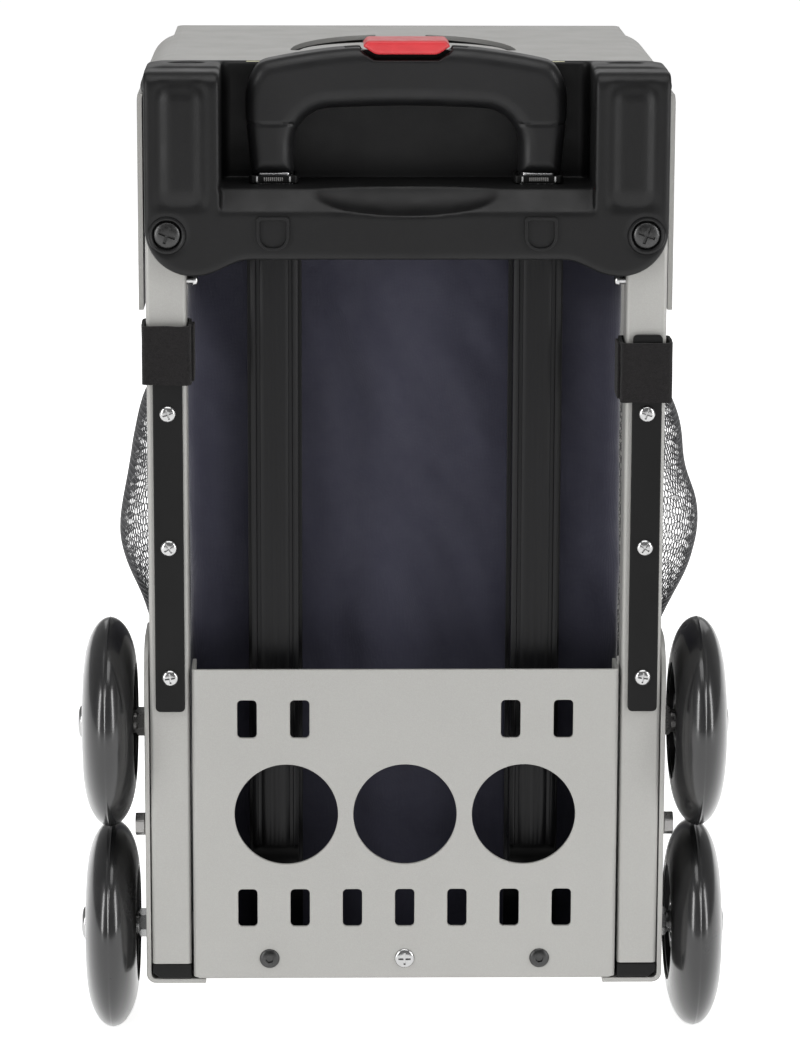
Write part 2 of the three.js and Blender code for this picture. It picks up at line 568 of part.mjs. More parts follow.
// ---------------------------------------------------------------- soft goods
function bagShell() {
  const { halfW, y0, y1, z0, z1, wall, corner } = BAG;
  const outer = alongY(roundedRect(-halfW, halfW, z0, z1, corner), y0, y1, 4);
  const hollow = alongY(roundedRect(-halfW + wall, halfW - wall, z0 + wall, z1 - wall,
    corner - wall), y0 + wall, y1 + 1, 4);
  return cut(outer, hollow);
}

function pocketBulge(wall, reach) {
  return new THREE.SphereGeometry(1, 16, 10)
    .scale(reach - wall, POCKET.ry - wall, POCKET.rz - wall)
    .translate(BAG.halfW + GAP, POCKET.y, POCKET.z);
}

function meshPocket(reach) {
  const face = BAG.halfW + GAP;
  const keep = box(face, 200, 0, 300, 0, POCKET.top);
  const hollow = common(pocketBulge(POCKET.wall, reach), box(face + POCKET.wall, 200, 0, 300, 0, 400));
  return cut(common(pocketBulge(0, reach), keep), hollow);
}

// A band of hook-and-loop tape closed around a post and its guard strip.
function strapRing(x0, x1, z0, z1) {
  const thick = 1.8;
  const outer = roundedRect(x0, x1, -3.4, POST.y1 + GAP + thick, 3);
  outer.holes.push(roundedRect(x0 + thick, x1 - thick, -3.4 + thick, POST.y1 + GAP, 2));
  return alongZ(outer, z0, z1, 3);
}

place('soft_goods', 'bag_shell', bagShell(), MAT.fabric);
place('soft_goods', 'front_flap', alongY(roundedRect(-FLAP.halfW, FLAP.halfW, FLAP.z0, FLAP.z1,
  BAG.corner), FLAP.y0, FLAP.y0 + FLAP.thick, 4), MAT.fabric);
place('soft_goods', 'mesh_pocket_left', mirrorX(meshPocket(POCKET.reachLeft)), MAT.mesh);
place('soft_goods', 'mesh_pocket_right', meshPocket(POCKET.reachRight), MAT.mesh);
place('soft_goods', 'strap_left', mirrorX(strapRing(108.4, 133.6, 350.7, 379.5)), MAT.strap);
place('soft_goods', 'strap_right', strapRing(108, 134.6, 341.8, 370.8), MAT.strap);

export default bag;
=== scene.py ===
"""A wheeled bag: an aluminium frame with a flat seat on top, a telescoping handle, two pairs of
stacked wheels, a slack nylon body and a net pocket on each side.

Shapes are drawn in millimetres, with y = 0 at the rear face of the kick plate, which is where the
handle is, and become metres in the frame's axes when a mesh is made."""

import math
from types import SimpleNamespace

import bmesh
import bpy
import numpy as np
from mathutils import Matrix, Vector, noise


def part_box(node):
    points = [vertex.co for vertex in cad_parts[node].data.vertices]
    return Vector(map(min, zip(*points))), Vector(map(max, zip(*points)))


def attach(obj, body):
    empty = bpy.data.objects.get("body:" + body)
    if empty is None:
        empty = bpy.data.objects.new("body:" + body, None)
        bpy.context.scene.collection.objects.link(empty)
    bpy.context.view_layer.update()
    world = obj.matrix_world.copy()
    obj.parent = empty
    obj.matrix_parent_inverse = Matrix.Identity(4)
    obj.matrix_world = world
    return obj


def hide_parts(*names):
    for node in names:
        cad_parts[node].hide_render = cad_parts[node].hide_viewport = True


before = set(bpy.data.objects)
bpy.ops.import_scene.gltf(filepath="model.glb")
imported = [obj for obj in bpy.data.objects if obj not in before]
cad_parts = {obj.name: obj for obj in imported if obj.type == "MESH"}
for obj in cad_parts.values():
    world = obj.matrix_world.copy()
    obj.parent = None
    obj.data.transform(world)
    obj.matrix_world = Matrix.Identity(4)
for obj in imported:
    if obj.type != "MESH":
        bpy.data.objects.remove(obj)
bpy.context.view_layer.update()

MM = 0.001
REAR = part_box("kick_plate")[0].y / MM
SIDES = (("left", -1), ("right", 1))
LEVELS = ("upper", "lower")


# ---------------------------------------------------------------- camera
def make_camera():
    """The photograph's camera: a long lens, a little left of the middle, looking slightly down."""
    yaw, pitch, roll = (math.radians(a) for a in (1.0935, 12.2916, 0.1731))
    ahead = Vector((math.sin(yaw) * math.cos(pitch), math.cos(yaw) * math.cos(pitch), -math.sin(pitch)))
    level = Vector((math.cos(yaw), -math.sin(yaw), 0))
    up = level.cross(ahead)
    right = math.cos(roll) * level + math.sin(roll) * up
    top = math.cos(roll) * up - math.sin(roll) * level
    data = bpy.data.cameras.new("camera")
    data.lens = 137.71
    data.sensor_width = 36
    camera = bpy.data.objects.new("camera", data)
    camera.matrix_world = Matrix((right, top, -ahead)).transposed().to_4x4()
    camera.location = (-0.0415, -2.1352, 0.7167)
    bpy.context.scene.collection.objects.link(camera)
    bpy.context.scene.camera = camera


make_camera()


# ---------------------------------------------------------------- places in the frame
def span(node):
    """A CAD node's box at rest, in this script's millimetres, with its middle."""
    low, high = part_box(node)
    s = SimpleNamespace(x0=low.x / MM, x1=high.x / MM, y0=low.y / MM - REAR, y1=high.y / MM - REAR,
                        z0=low.z / MM, z1=high.z / MM)
    s.x, s.y, s.z = (s.x0 + s.x1) / 2, (s.y0 + s.y1) / 2, (s.z0 + s.z1) / 2
    s.w, s.d, s.h = s.x1 - s.x0, s.y1 - s.y0, s.z1 - s.z0
    return s


# ---------------------------------------------------------------- meshes
def mesh_object(name, points, faces):
    """A mesh object from points in this script's millimetres."""
    mesh = bpy.data.meshes.new(name)
    mesh.from_pydata([(x * MM, (y + REAR) * MM, z * MM) for x, y, z in points], [], faces)
    mesh.validate()
    obj = bpy.data.objects.new(name, mesh)
    bpy.context.scene.collection.objects.link(obj)
    return obj


def face_outwards(obj):
    work = bmesh.new()
    work.from_mesh(obj.data)
    bmesh.ops.recalc_face_normals(work, faces=work.faces)
    work.to_mesh(obj.data)
    work.free()
    return obj


def apply_modifiers(obj):
    graph = bpy.context.evaluated_depsgraph_get()
    graph.update()
    mesh = bpy.data.meshes.new_from_object(obj.evaluated_get(graph))
    obj.modifiers.clear()
    obj.data = mesh
    return obj


def combine(obj, others, operation):
    """A boolean of obj with each of the others, which are used up."""
    for other in others:
        modifier = obj.modifiers.new("boolean", "BOOLEAN")
        modifier.operation = operation
        modifier.solver = "EXACT"
        modifier.object = other
        apply_modifiers(obj)
        bpy.data.objects.remove(other)
    return obj


def carve(obj, *cutters):
    return combine(obj, cutters, "DIFFERENCE")


def common(obj, *others):
    return combine(obj, others, "INTERSECT")


def joined(name, objects):
    """Several meshes as the separate shells of one object."""
    work = bmesh.new()
    for obj in objects:
        work.from_mesh(obj.data)
    mesh = bpy.data.meshes.new(name)
    work.to_mesh(mesh)
    work.free()
    for obj in objects:
        bpy.data.objects.remove(obj)
    result = bpy.data.objects.new(name, mesh)
    bpy.context.scene.collection.objects.link(result)
    return result


def roll_edges(obj, width, steps=2, angle=32):
    """Rounds the sharp edges, and keeps the shading of flat faces flat."""
    bevel = obj.modifiers.new("bevel", "BEVEL")
    bevel.width = width * MM
    bevel.segments = steps
    bevel.limit_method = "ANGLE"
    bevel.angle_limit = math.radians(angle)
    bevel.miter_outer = "MITER_ARC"
    apply_modifiers(obj)
    return obj


def finish_piece(obj, look, body="frame", stands_for=(), sharp=50):
    """Material, shading, body and the CAD nodes that the piece stands for."""
    obj.data.materials.clear()
    obj.data.materials.append(look.material)
    obj.data.shade_smooth()
    obj.data.set_sharp_from_angle(angle=math.radians(sharp))
    normals = obj.modifiers.new("normals", "WEIGHTED_NORMAL")
    normals.keep_sharp = True
    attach(obj, body)
    if stands_for:
        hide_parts(*([stands_for] if isinstance(stands_for, str) else stands_for))
    return obj


# ---------------------------------------------------------------- outlines and solids
def arc(a, b, radius, start, end, steps=8):
    """Points on a circle about (a, b), from one angle in degrees to another."""
    turns = [math.radians(start + (end - start) * i / steps) for i in range(steps + 1)]
    return [(a + radius * math.cos(t), b + radius * math.sin(t)) for t in turns]


def outline(*corners, steps=8):
    """A closed outline through (a, b, radius) corners, each rounded with its radius."""
    points = []
    for i, (a, b, radius) in enumerate(corners):
        here = Vector((a, b))
        if radius <= 0:
            points.append((a, b))
            continue
        back = (Vector(corners[i - 1][:2]) - here).normalized()
        on = (Vector(corners[(i + 1) % len(corners)][:2]) - here).normalized()
        half = back.angle(on) / 2
        centre = here + (back + on).normalized() * (radius / math.sin(half))
        first = here + back * (radius / math.tan(half)) - centre
        last = here + on * (radius / math.tan(half)) - centre
        turn = first.angle_signed(last)
        for step in range(steps + 1):
            swing = -turn * step / steps
            cos, sin = math.cos(swing), math.sin(swing)
            points.append((centre.x + first.x * cos - first.y * sin,
                           centre.y + first.x * sin + first.y * cos))
    return points


def rectangle(a0, a1, b0, b1, radius=0, steps=8):
    return outline((a0, b0, radius), (a1, b0, radius), (a1, b1, radius), (a0, b1, radius), steps=steps)


PLACERS = {
    "x": lambda a, b, t: (t, a, b),
    "y": lambda a, b, t: (a, t, b),
    "z": lambda a, b, t: (a, b, t),
}


def prism(name, shape, axis, start, end):
    """A closed outline run along one axis. It is drawn in the other two axes, in their order."""
    place = PLACERS[axis]
    n = len(shape)
    points = [place(a, b, t) for t in (start, end) for a, b in shape]
    faces = [(i, (i + 1) % n, n + (i + 1) % n, n + i) for i in range(n)]
    faces += [tuple(range(n))[::-1], tuple(range(n, 2 * n))]
    return face_outwards(mesh_object(name, points, faces))


def block(name, x0, x1, y0, y1, z0, z1):
    return prism(name, [(x0, z0), (x1, z0), (x1, z1), (x0, z1)], "y", y0, y1)


def lathe(name, profile, axis, centre, steps=64, sign=1):
    """A profile of (along, radius) points turned about an axis through centre; sign -1 mirrors it."""
    place = PLACERS[axis]
    points, rings = [], []
    for along, radius in profile:
        count = 1 if radius <= 1e-6 else steps
        rings.append(range(len(points), len(points) + count))
        for i in range(count):
            turn = 2 * math.pi * i / steps
            p = place(radius * math.cos(turn), radius * math.sin(turn), sign * along)
            points.append([p[k] + centre[k] for k in range(3)])
    faces = []
    loops = list(zip(rings, rings[1:]))
    if profile[0][1] > 1e-6 and profile[-1][1] > 1e-6:
        loops.append((rings[-1], rings[0]))
    for one, two in loops:
        for i in range(steps):
            j = (i + 1) % steps
            corners = [one[i % len(one)], one[j % len(one)], two[j % len(two)], two[i % len(two)]]
            faces.append(tuple(dict.fromkeys(corners)))
    faces = [f for f in faces if len(f) > 2]
    return face_outwards(mesh_object(name, points, faces))


def swept(name, rings, closed=False):
    """A skin over rings of points of equal length; open sweeps are capped at both ends."""
    n, count = len(rings[0]), len(rings)
    points = [p for ring in rings for p in ring]
    faces = []
    for r in range(count if closed else count - 1):
        a, b = r * n, (r + 1) % count * n
        faces += [(a + i, a + (i + 1) % n, b + (i + 1) % n, b + i) for i in range(n)]
    if not closed:
        faces += [tuple(range(n))[::-1], tuple(range((count - 1) * n, count * n))]
    return face_outwards(mesh_object(name, points, faces))


def tube_along(path, radius, sides=10, closed=False):
    """Rings of a round tube along a path of points."""
    path = [Vector(p) for p in path]
    n = len(path)
    rings, side = [], None
    for i, here in enumerate(path):
        before = path[i - 1] if closed or i else path[i]
        after = path[(i + 1) % n] if closed or i < n - 1 else path[i]
        ahead = (after - before).normalized()
        if side is None:
            side = ahead.orthogonal().normalized()
        side = (side - ahead * side.dot(ahead)).normalized()
        up = ahead.cross(side)
        rings.append([here + radius * (math.cos(t) * side + math.sin(t) * up)
                      for t in (2 * math.pi * k / sides for k in range(sides))])
    return rings


# ---------------------------------------------------------------- moulded shapes from distances
def soft_min(a, b, k):
    """The smaller of two distances, with the crease between them filled to a radius of about k."""
    h = np.clip(0.5 + 0.5 * (b - a) / k, 0, 1)
    return b + (a - b) * h - k * h * (1 - h)


def soft_max(a, b, k):
    return -soft_min(-a, -b, k)


def round_corner(p, q, radius):
    """Distance to the overlap of two half-spaces p < 0 and q < 0, with a round edge."""
    return np.hypot(np.maximum(p + radius, 0), np.maximum(q + radius, 0)) \
        + np.minimum(np.maximum(p, q) + radius, 0) - radius


def slab(value, low, high):
    return np.abs(value - (low + high) / 2) - (high - low) / 2


def box_field(grid, low, high, radius):
    p, q, r = (slab(c, a, b) for c, a, b in zip(grid, low, high))
    return round_corner(round_corner(p, q, radius), r, radius)


def ellipsoid_field(grid, centre, radii):
    scaled = [(c - m) / r for c, m, r in zip(grid, centre, radii)]
    length = np.sqrt(sum(s * s for s in scaled))
    return (length - 1) * min(radii)


def sample_grid(low, high, step):
    return np.meshgrid(*[np.arange(a - 2 * step, b + 3 * step, step) for a, b in zip(low, high)],
                       indexing="ij", sparse=True)


def surface(name, grid, field, step):
    """The surface where the distances cross zero, with one point in each grid cell it passes."""
    low = np.array([axis.min() for axis in grid])
    inside = field < 0
    shape = np.array(field.shape)
    corners = [(i, j, k) for i in (0, 1) for j in (0, 1) for k in (0, 1)]
    held = sum(inside[i:shape[0] - 1 + i, j:shape[1] - 1 + j, k:shape[2] - 1 + k].astype(np.int8)
               for i, j, k in corners)
    cells = np.argwhere((held > 0) & (held < 8))
    index = np.full(shape - 1, -1)
    index[tuple(cells.T)] = np.arange(len(cells))
    values = {c: field[tuple((cells + c).T)] for c in corners}
    total, hits = np.zeros((len(cells), 3)), np.zeros(len(cells))
    for c in corners:
        for axis in range(3):
            if c[axis]:
                continue
            far = tuple(1 if k == axis else c[k] for k in range(3))
            crossed = (values[c] < 0) != (values[far] < 0)
            run = np.where(crossed, values[c] - values[far], 1)
            point = np.tile(np.array(c, float), (len(cells), 1))
            point[:, axis] = values[c] / run
            total += point * crossed[:, None]
            hits += crossed
    points = (cells + total / hits[:, None]) * step + low
    quads = []
    for axis in range(3):
        u, v = np.eye(3, dtype=int)[(axis + 1) % 3], np.eye(3, dtype=int)[(axis + 2) % 3]
        near = np.take(inside, range(shape[axis] - 1), axis)
        far = np.take(inside, range(1, shape[axis]), axis)
        for leaving in (True, False):
            at = np.argwhere(near & ~far if leaving else ~near & far)
            ring = [index[tuple((at - a).T)] for a in (u + v, v, 0 * u, u)]
            quads.append(np.stack(ring if leaving else ring[::-1], 1))
    return mesh_object(name, points.tolist(), np.concatenate(quads).tolist())


# ---------------------------------------------------------------- finishes
class Look:
    """One finish: a Principled shader, its slot name and the nodes that feed it."""

    def __init__(self, name, slot, color, roughness, metallic=0.0, **sockets):
        self.material = bpy.data.materials.new(name)
        self.material.use_nodes = True
        self.slot = slot
        self.color = color
        self.tree = self.material.node_tree
        self.shader = self.tree.nodes["Principled BSDF"]
        values = {"Base Color": (*color, 1), "Roughness": roughness, "Metallic": metallic}
        values.update({key.replace("_", " "): value for key, value in sockets.items()})
        for key, value in values.items():
            self.shader.inputs[key].default_value = value
        self.place = self.tree.nodes.new("ShaderNodeTexCoord").outputs["Object"]
        self.normal = None

    def node(self, kind, inputs=None, **settings):
        made = self.tree.nodes.new("ShaderNode" + kind)
        for key, value in settings.items():
            setattr(made, key, value)
        for key, value in (inputs or {}).items():
            self.give(made.inputs[key], value)
        return made

    def give(self, socket, value):
        if isinstance(value, bpy.types.NodeSocket):
            self.tree.links.new(value, socket)
        else:
            socket.default_value = value

    def stretched(self, stretch):
        return self.node("VectorMath", {0: self.place, 1: stretch}, operation="MULTIPLY").outputs[0]

    def noise(self, per_metre, detail=3.0, stretch=(1, 1, 1), rough=0.5, twist=0.0):
        inputs = {"Vector": self.stretched(stretch), "Scale": per_metre, "Detail": detail,
                  "Roughness": rough, "Distortion": twist}
        return self.node("TexNoise", inputs).outputs[0]

    def cells(self, per_metre, feature="F1"):
        inputs = {"Vector": self.place, "Scale": per_metre}
        return self.node("TexVoronoi", inputs, feature=feature).outputs["Distance"]

    def sine(self, axis, pitch):
        """A smooth wave from -1 to 1 along x, y or z, once every pitch metres."""
        along = self.node("SeparateXYZ", {0: self.place}).outputs["XYZ".index(axis.upper())]
        angle = self.math("MULTIPLY", along, 2 * math.pi / pitch)
        return self.math("SINE", angle)

    def math(self, operation, a, b=0.0):
        return self.node("Math", {0: a, 1: b}, operation=operation).outputs[0]

    def ranged(self, value, low, high, to_low, to_high):
        inputs = {"Value": value, "From Min": low, "From Max": high, "To Min": to_low, "To Max": to_high}
        return self.node("MapRange", inputs).outputs[0]

    def mixed(self, factor, a, b):
        a, b = ((*c, 1) if isinstance(c, tuple) and len(c) == 3 else c for c in (a, b))
        return self.node("Mix", {0: factor, 6: a, 7: b}, data_type="RGBA").outputs[2]

    def tone(self, value, spread, low=0.3, high=0.7):
        """Colour that drifts either side of the base colour as a texture value changes."""
        factor = self.ranged(value, low, high, 0, 1)
        darker = tuple(c * (1 - spread) for c in self.color)
        lighter = tuple(c * (1 + spread) for c in self.color)
        return self.mixed(factor, darker, lighter)

    def paint(self, color):
        self.give(self.shader.inputs["Base Color"], color)

    def gloss(self, value, low, high, least=0.3, most=0.7):
        self.give(self.shader.inputs["Roughness"], self.ranged(value, least, most, low, high))

    def relief(self, height, depth_mm, strength=1.0):
        """Adds fine relief of that depth on top of any relief already there."""
        inputs = {"Height": height, "Distance": depth_mm * MM, "Strength": strength}
        if self.normal:
            inputs["Normal"] = self.normal
        self.normal = self.node("Bump", inputs).outputs[0]
        self.give(self.shader.inputs["Normal"], self.normal)


def edge_mask(look, low=0.52, high=0.6):
    """From 0 on flat faces to 1 on convex outer edges of a dense mesh, where a highlight is painted and, in
    moulded plastic, the gloss is rubbed up.
    """
    return look.ranged(look.node("NewGeometry").outputs["Pointiness"], low, high, 0, 1)


def powder_coat():
    look = Look("powder_coated_aluminium", "alloy", (0.31, 0.306, 0.292), 0.42, 0.15,
                Specular_IOR_Level=0.45)
    drift = look.noise(6, 4)
    speckle = look.noise(2600, 1)
    look.paint(look.mixed(look.ranged(speckle, 0.42, 0.62, 0, 0.35), look.tone(drift, 0.03),
                          (0.372, 0.37, 0.355)))
    look.gloss(look.noise(45, 5), 0.38, 0.48)
    look.relief(look.noise(900, 3), 0.035)
    look.relief(look.noise(60, 2), 0.05)
    return look


def moulded(name, slot, color, rough, grain=0.05, **sockets):
    """Injection-moulded plastic with a fine spark-eroded grain, edges rubbed a little shiny, and a painted
    highlight that lightens the colour along its edges.
    """
    look = Look(name, slot, color, rough, **{"Specular_IOR_Level": 0.35, **sockets})
    drift = look.noise(22, 4)
    rub_and_highlight = edge_mask(look)
    base = look.tone(drift, 0.18)
    # Painted highlight: the colour lightens along convex edges; the lower roughness there is real rub.
    look.paint(look.mixed(look.math("MULTIPLY", rub_and_highlight, 0.45), base, tuple(c * 2.2 for c in color)))
    patchy = look.ranged(look.noise(70, 5), 0.3, 0.7, rough - 0.05, rough + 0.07)
    look.give(look.shader.inputs["Roughness"],
              look.math("SUBTRACT", patchy, look.math("MULTIPLY", rub_and_highlight, 0.08)))
    look.relief(look.noise(1500, 2), grain)
    look.relief(look.cells(1100), grain * 0.5)
    return look


def anodised():
    look = Look("black_anodised_tube", "black_tube", (0.0025, 0.0025, 0.003), 0.4, 0.1,
                Specular_IOR_Level=0.25)
    drawn = look.noise(900, 3, stretch=(1, 1, 0.006))
    look.paint(look.tone(look.noise(14, 3, stretch=(1, 1, 0.3)), 0.3))
    look.gloss(drawn, 0.32, 0.48)
    look.relief(drawn, 0.012)
    return look


def bright_metal(name, slot, color, rough, along=(1, 1, 1)):
    look = Look(name, slot, color, rough, 1.0)
    brushed = look.noise(1400, 4, stretch=along)
    look.paint(look.tone(look.noise(120, 4), 0.08))
    look.gloss(brushed, rough * 0.75, rough * 1.4)
    look.relief(brushed, 0.008)
    return look


def button_plastic():
    look = Look("button_red_plastic", "button_red", (0.46, 0.028, 0.034), 0.36, Specular_IOR_Level=0.45)
    # Painted highlight: the red turns brighter along the cap's convex edges.
    look.paint(look.mixed(look.math("MULTIPLY", edge_mask(look), 0.4),
                          look.tone(look.noise(60, 4), 0.1), (0.72, 0.1, 0.1)))
    look.gloss(look.noise(160, 4), 0.32, 0.42)
    look.relief(look.noise(1600, 2), 0.02)
    return look


def tyre_rubber():
    look = Look("tyre_polyurethane", "tyre", (0.014, 0.014, 0.0145), 0.2, Coat_Weight=0.3,
                Coat_Roughness=0.1, Specular_IOR_Level=0.45)
    scuffs = look.noise(60, 6, rough=0.6, twist=0.6)
    dust = look.ranged(look.noise(30, 5), 0.5, 0.8, 0, 0.25)
    look.paint(look.mixed(dust, look.tone(scuffs, 0.12), (0.026, 0.0255, 0.025)))
    look.gloss(scuffs, 0.18, 0.28)
    look.relief(look.noise(110, 3), 0.012)
    return look


def nylon(name, color, pitch=0.0007):
    """Plain-woven nylon: two thread directions on every face, creases, sheen."""
    look = Look(name, "bag_fabric", color, 0.62, Sheen_Weight=0.35, Sheen_Roughness=0.45,
                Specular_IOR_Level=0.3)
    x, y, z = (look.sine(axis, pitch) for axis in "xyz")
    crossing = look.math("ADD", look.math("MULTIPLY", z, look.math("ADD", x, y)),
                         look.math("MULTIPLY", x, y))
    faded = look.noise(9, 5)
    threads = look.noise(1200, 2, stretch=(1, 1, 0.15))
    body = look.tone(faded, 0.12)
    lighter = tuple(c * 1.35 for c in color)
    look.paint(look.mixed(look.ranged(look.math("MULTIPLY", crossing, threads), -0.3, 0.8, 0, 0.55),
                          body, lighter))
    look.gloss(look.noise(140, 4), 0.55, 0.7)
    look.relief(crossing, 0.03)
    look.relief(look.noise(38, 6, rough=0.6, twist=0.8), 0.5, 0.6)
    look.relief(threads, 0.03)
    return look


def webbing(name, slot, color, ribs_along="z", pitch=0.0016):
    look = Look(name, slot, color, 0.75, Sheen_Weight=0.3, Sheen_Roughness=0.5, Specular_IOR_Level=0.25)
    ribs = look.sine(ribs_along, pitch)
    look.paint(look.tone(look.noise(500, 4), 0.35))
    look.relief(ribs, 0.12)
    look.relief(look.noise(1500, 3), 0.08)
    return look


def loop_pile():
    look = Look("hook_and_loop_pile", "strap", (0.010, 0.0092, 0.0094), 0.9, Sheen_Weight=0.08,
                Sheen_Roughness=0.6, Specular_IOR_Level=0.06)
    fuzz = look.noise(700, 6, rough=0.75, twist=1.5)
    curls = look.cells(1300)
    look.paint(look.tone(fuzz, 0.6))
    look.relief(fuzz, 0.35)
    look.relief(curls, 0.2)
    return look


def net_yarn():
    look = Look("pocket_net_yarn", "pocket_net", (0.05, 0.05, 0.053), 0.45, Sheen_Weight=0.2,
                Specular_IOR_Level=0.45)
    twist = look.noise(2200, 3, stretch=(1, 1, 0.4))
    look.paint(look.tone(twist, 0.5))
    look.relief(twist, 0.05)
    return look


def pale_plastic():
    look = Look("cream_plastic", "black_plastic", (0.68, 0.66, 0.45), 0.5)
    look.paint(look.tone(look.noise(200, 4), 0.08))
    look.relief(look.noise(1500, 2), 0.02)
    return look


ALLOY = powder_coat()
HOUSING_PLASTIC = moulded("housing_plastic", "black_plastic", (0.0035, 0.0035, 0.0037), 0.46,
                            Specular_IOR_Level=0.26)
GRIP_PLASTIC = moulded("grip_plastic", "black_plastic", (0.004, 0.004, 0.0044), 0.44, 0.04,
                       Specular_IOR_Level=0.32)
STRIP_PLASTIC = moulded("strip_plastic", "black_plastic", (0.0045, 0.0045, 0.0045), 0.42, 0.04,
                        Specular_IOR_Level=0.15)
HUB_PLASTIC = moulded("hub_plastic", "hub", (0.008, 0.008, 0.008), 0.5)
TUBE = anodised()
CHROME = bright_metal("polished_steel", "steel", (0.42, 0.42, 0.42), 0.2)
TELESCOPE = bright_metal("telescope_steel", "steel", (0.6, 0.6, 0.61), 0.22, along=(1, 1, 0.01))
DARK_ZINC = bright_metal("dark_zinc", "zinc", (0.26, 0.255, 0.25), 0.3)
BLACK_STEEL = bright_metal("black_steel", "steel", (0.06, 0.06, 0.06), 0.33)
RED = button_plastic()
TYRE = tyre_rubber()
NAVY = nylon("navy_nylon", (0.0165, 0.0162, 0.031))
PILE = loop_pile()
NET = net_yarn()
TAPE = webbing("binding_tape", "bag_fabric", (0.012, 0.012, 0.014))
ELASTIC = webbing("pocket_elastic", "pocket_net", (0.014, 0.014, 0.015))
COIL = moulded("zip_coil", "bag_fabric", (0.015, 0.015, 0.016), 0.35, 0.02)
CREAM = pale_plastic()


# ---------------------------------------------------------------- fasteners
def cross_recess(centre, size, depth, toward):
    """Cutters for a cross-head recess in a screw whose head faces -y or +y."""
    x, y, z = centre
    y0, y1 = sorted((y, y + toward * depth))
    arm = size * 0.17
    return (block("arm", x - size, x + size, y0, y1, z - arm, z + arm),
            block("arm", x - arm, x + arm, y0, y1, z - size, z + size))


def pan_head(name, x, y, z, radius, height, look, recess="cross", tilt=0.0):
    """A domed screw head that stands on the plane at y and faces the rear."""
    dome = [(height * math.cos(t), radius * (0.25 + 0.75 * math.sin(t)))
            for t in (math.radians(a) for a in range(0, 91, 10))]
    profile = [(height, 0)] + dome + [(-0.4, radius), (-0.4, 0)]
    head = lathe(name, [(-a, r) for a, r in profile], "y", (x, y, z), 40)
    if recess == "cross":
        carve(head, *cross_recess((x, y - height * 1.2, z), radius * 0.62, height * 1.1, 1))
    else:
        hexagon = [(x + radius * 0.42 * math.cos(math.radians(60 * k + 15)),
                    z + radius * 0.42 * math.sin(math.radians(60 * k + 15))) for k in range(6)]
        carve(head, prism("socket", hexagon, "y", y - height * 1.2, y - height * 0.3))
    if tilt:
        pivot = Vector((x * MM, (y + REAR) * MM, z * MM))
        head.data.transform(Matrix.Translation(pivot) @ Matrix.Rotation(tilt, 4, "Y")
                            @ Matrix.Translation(-pivot))
    return finish_piece(head, look, sharp=35)


# ---------------------------------------------------------------- sheet metal and tubes
def refined(node, look, width=0.5, steps=2, body="frame"):
    """The CAD node's own shape with clean faces and rolled edges."""
    work = bmesh.new()
    work.from_mesh(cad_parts[node].data)
    bmesh.ops.remove_doubles(work, verts=work.verts, dist=0.01 * MM)
    bmesh.ops.dissolve_limit(work, angle_limit=math.radians(0.5), verts=work.verts, edges=work.edges)
    bmesh.ops.recalc_face_normals(work, faces=work.faces)
    mesh = bpy.data.meshes.new(node + "_finished")
    work.to_mesh(mesh)
    work.free()
    obj = bpy.data.objects.new(node + "_finished", mesh)
    bpy.context.scene.collection.objects.link(obj)
    if width:
        roll_edges(obj, width, steps)
    return finish_piece(obj, look, body, node)


def kick_plate():
    s = span("kick_plate")
    bend, sheet = 3.0, 2.0
    channel = outline((s.x0, s.y1, 0), (s.x0, 0, bend), (s.x1, 0, bend), (s.x1, s.y1, 0),
                      (s.x1 - sheet, s.y1, 0), (s.x1 - sheet, sheet, bend - sheet),
                      (s.x0 + sheet, sheet, bend - sheet), (s.x0 + sheet, s.y1, 0))
    plate = prism("kick_plate_sheet", channel, "z", s.z0, s.z1)
    cutters = []
    hole_r, hole_pitch, hole_z = 26.7, 61.3, 127
    for column in (-1, 0, 1):
        cutters.append(lathe("hole", [(-2, 0), (-2, hole_r), (4, hole_r), (4, 0)], "y",
                             (column * hole_pitch, 0, hole_z), 96))
    slot_w, slot_h, pitch, low_z, top_z = 10, 20, 27.13, 76.7, 177.9
    for column in range(-3, 4):
        for z in (low_z, top_z) if abs(column) >= 2 else (low_z,):
            x = column * pitch
            shape = rectangle(x - slot_w / 2, x + slot_w / 2, z - slot_h / 2, z + slot_h / 2, 2.2, 5)
            cutters.append(prism("slot", shape, "y", -2, 4))
    carve(plate, joined("kick_cutters", cutters))
    roll_edges(plate, 0.45)
    finish_piece(plate, ALLOY, stands_for="kick_plate")
    for name, x, look in (("left", -70.2, BLACK_STEEL), ("middle", 0, CHROME), ("right", 70.2, BLACK_STEEL)):
        recess = "cross" if look is CHROME else "socket"
        pan_head(f"kick_screw_{name}", x, 0, 49.2, 5.15, 1.7, look, recess)


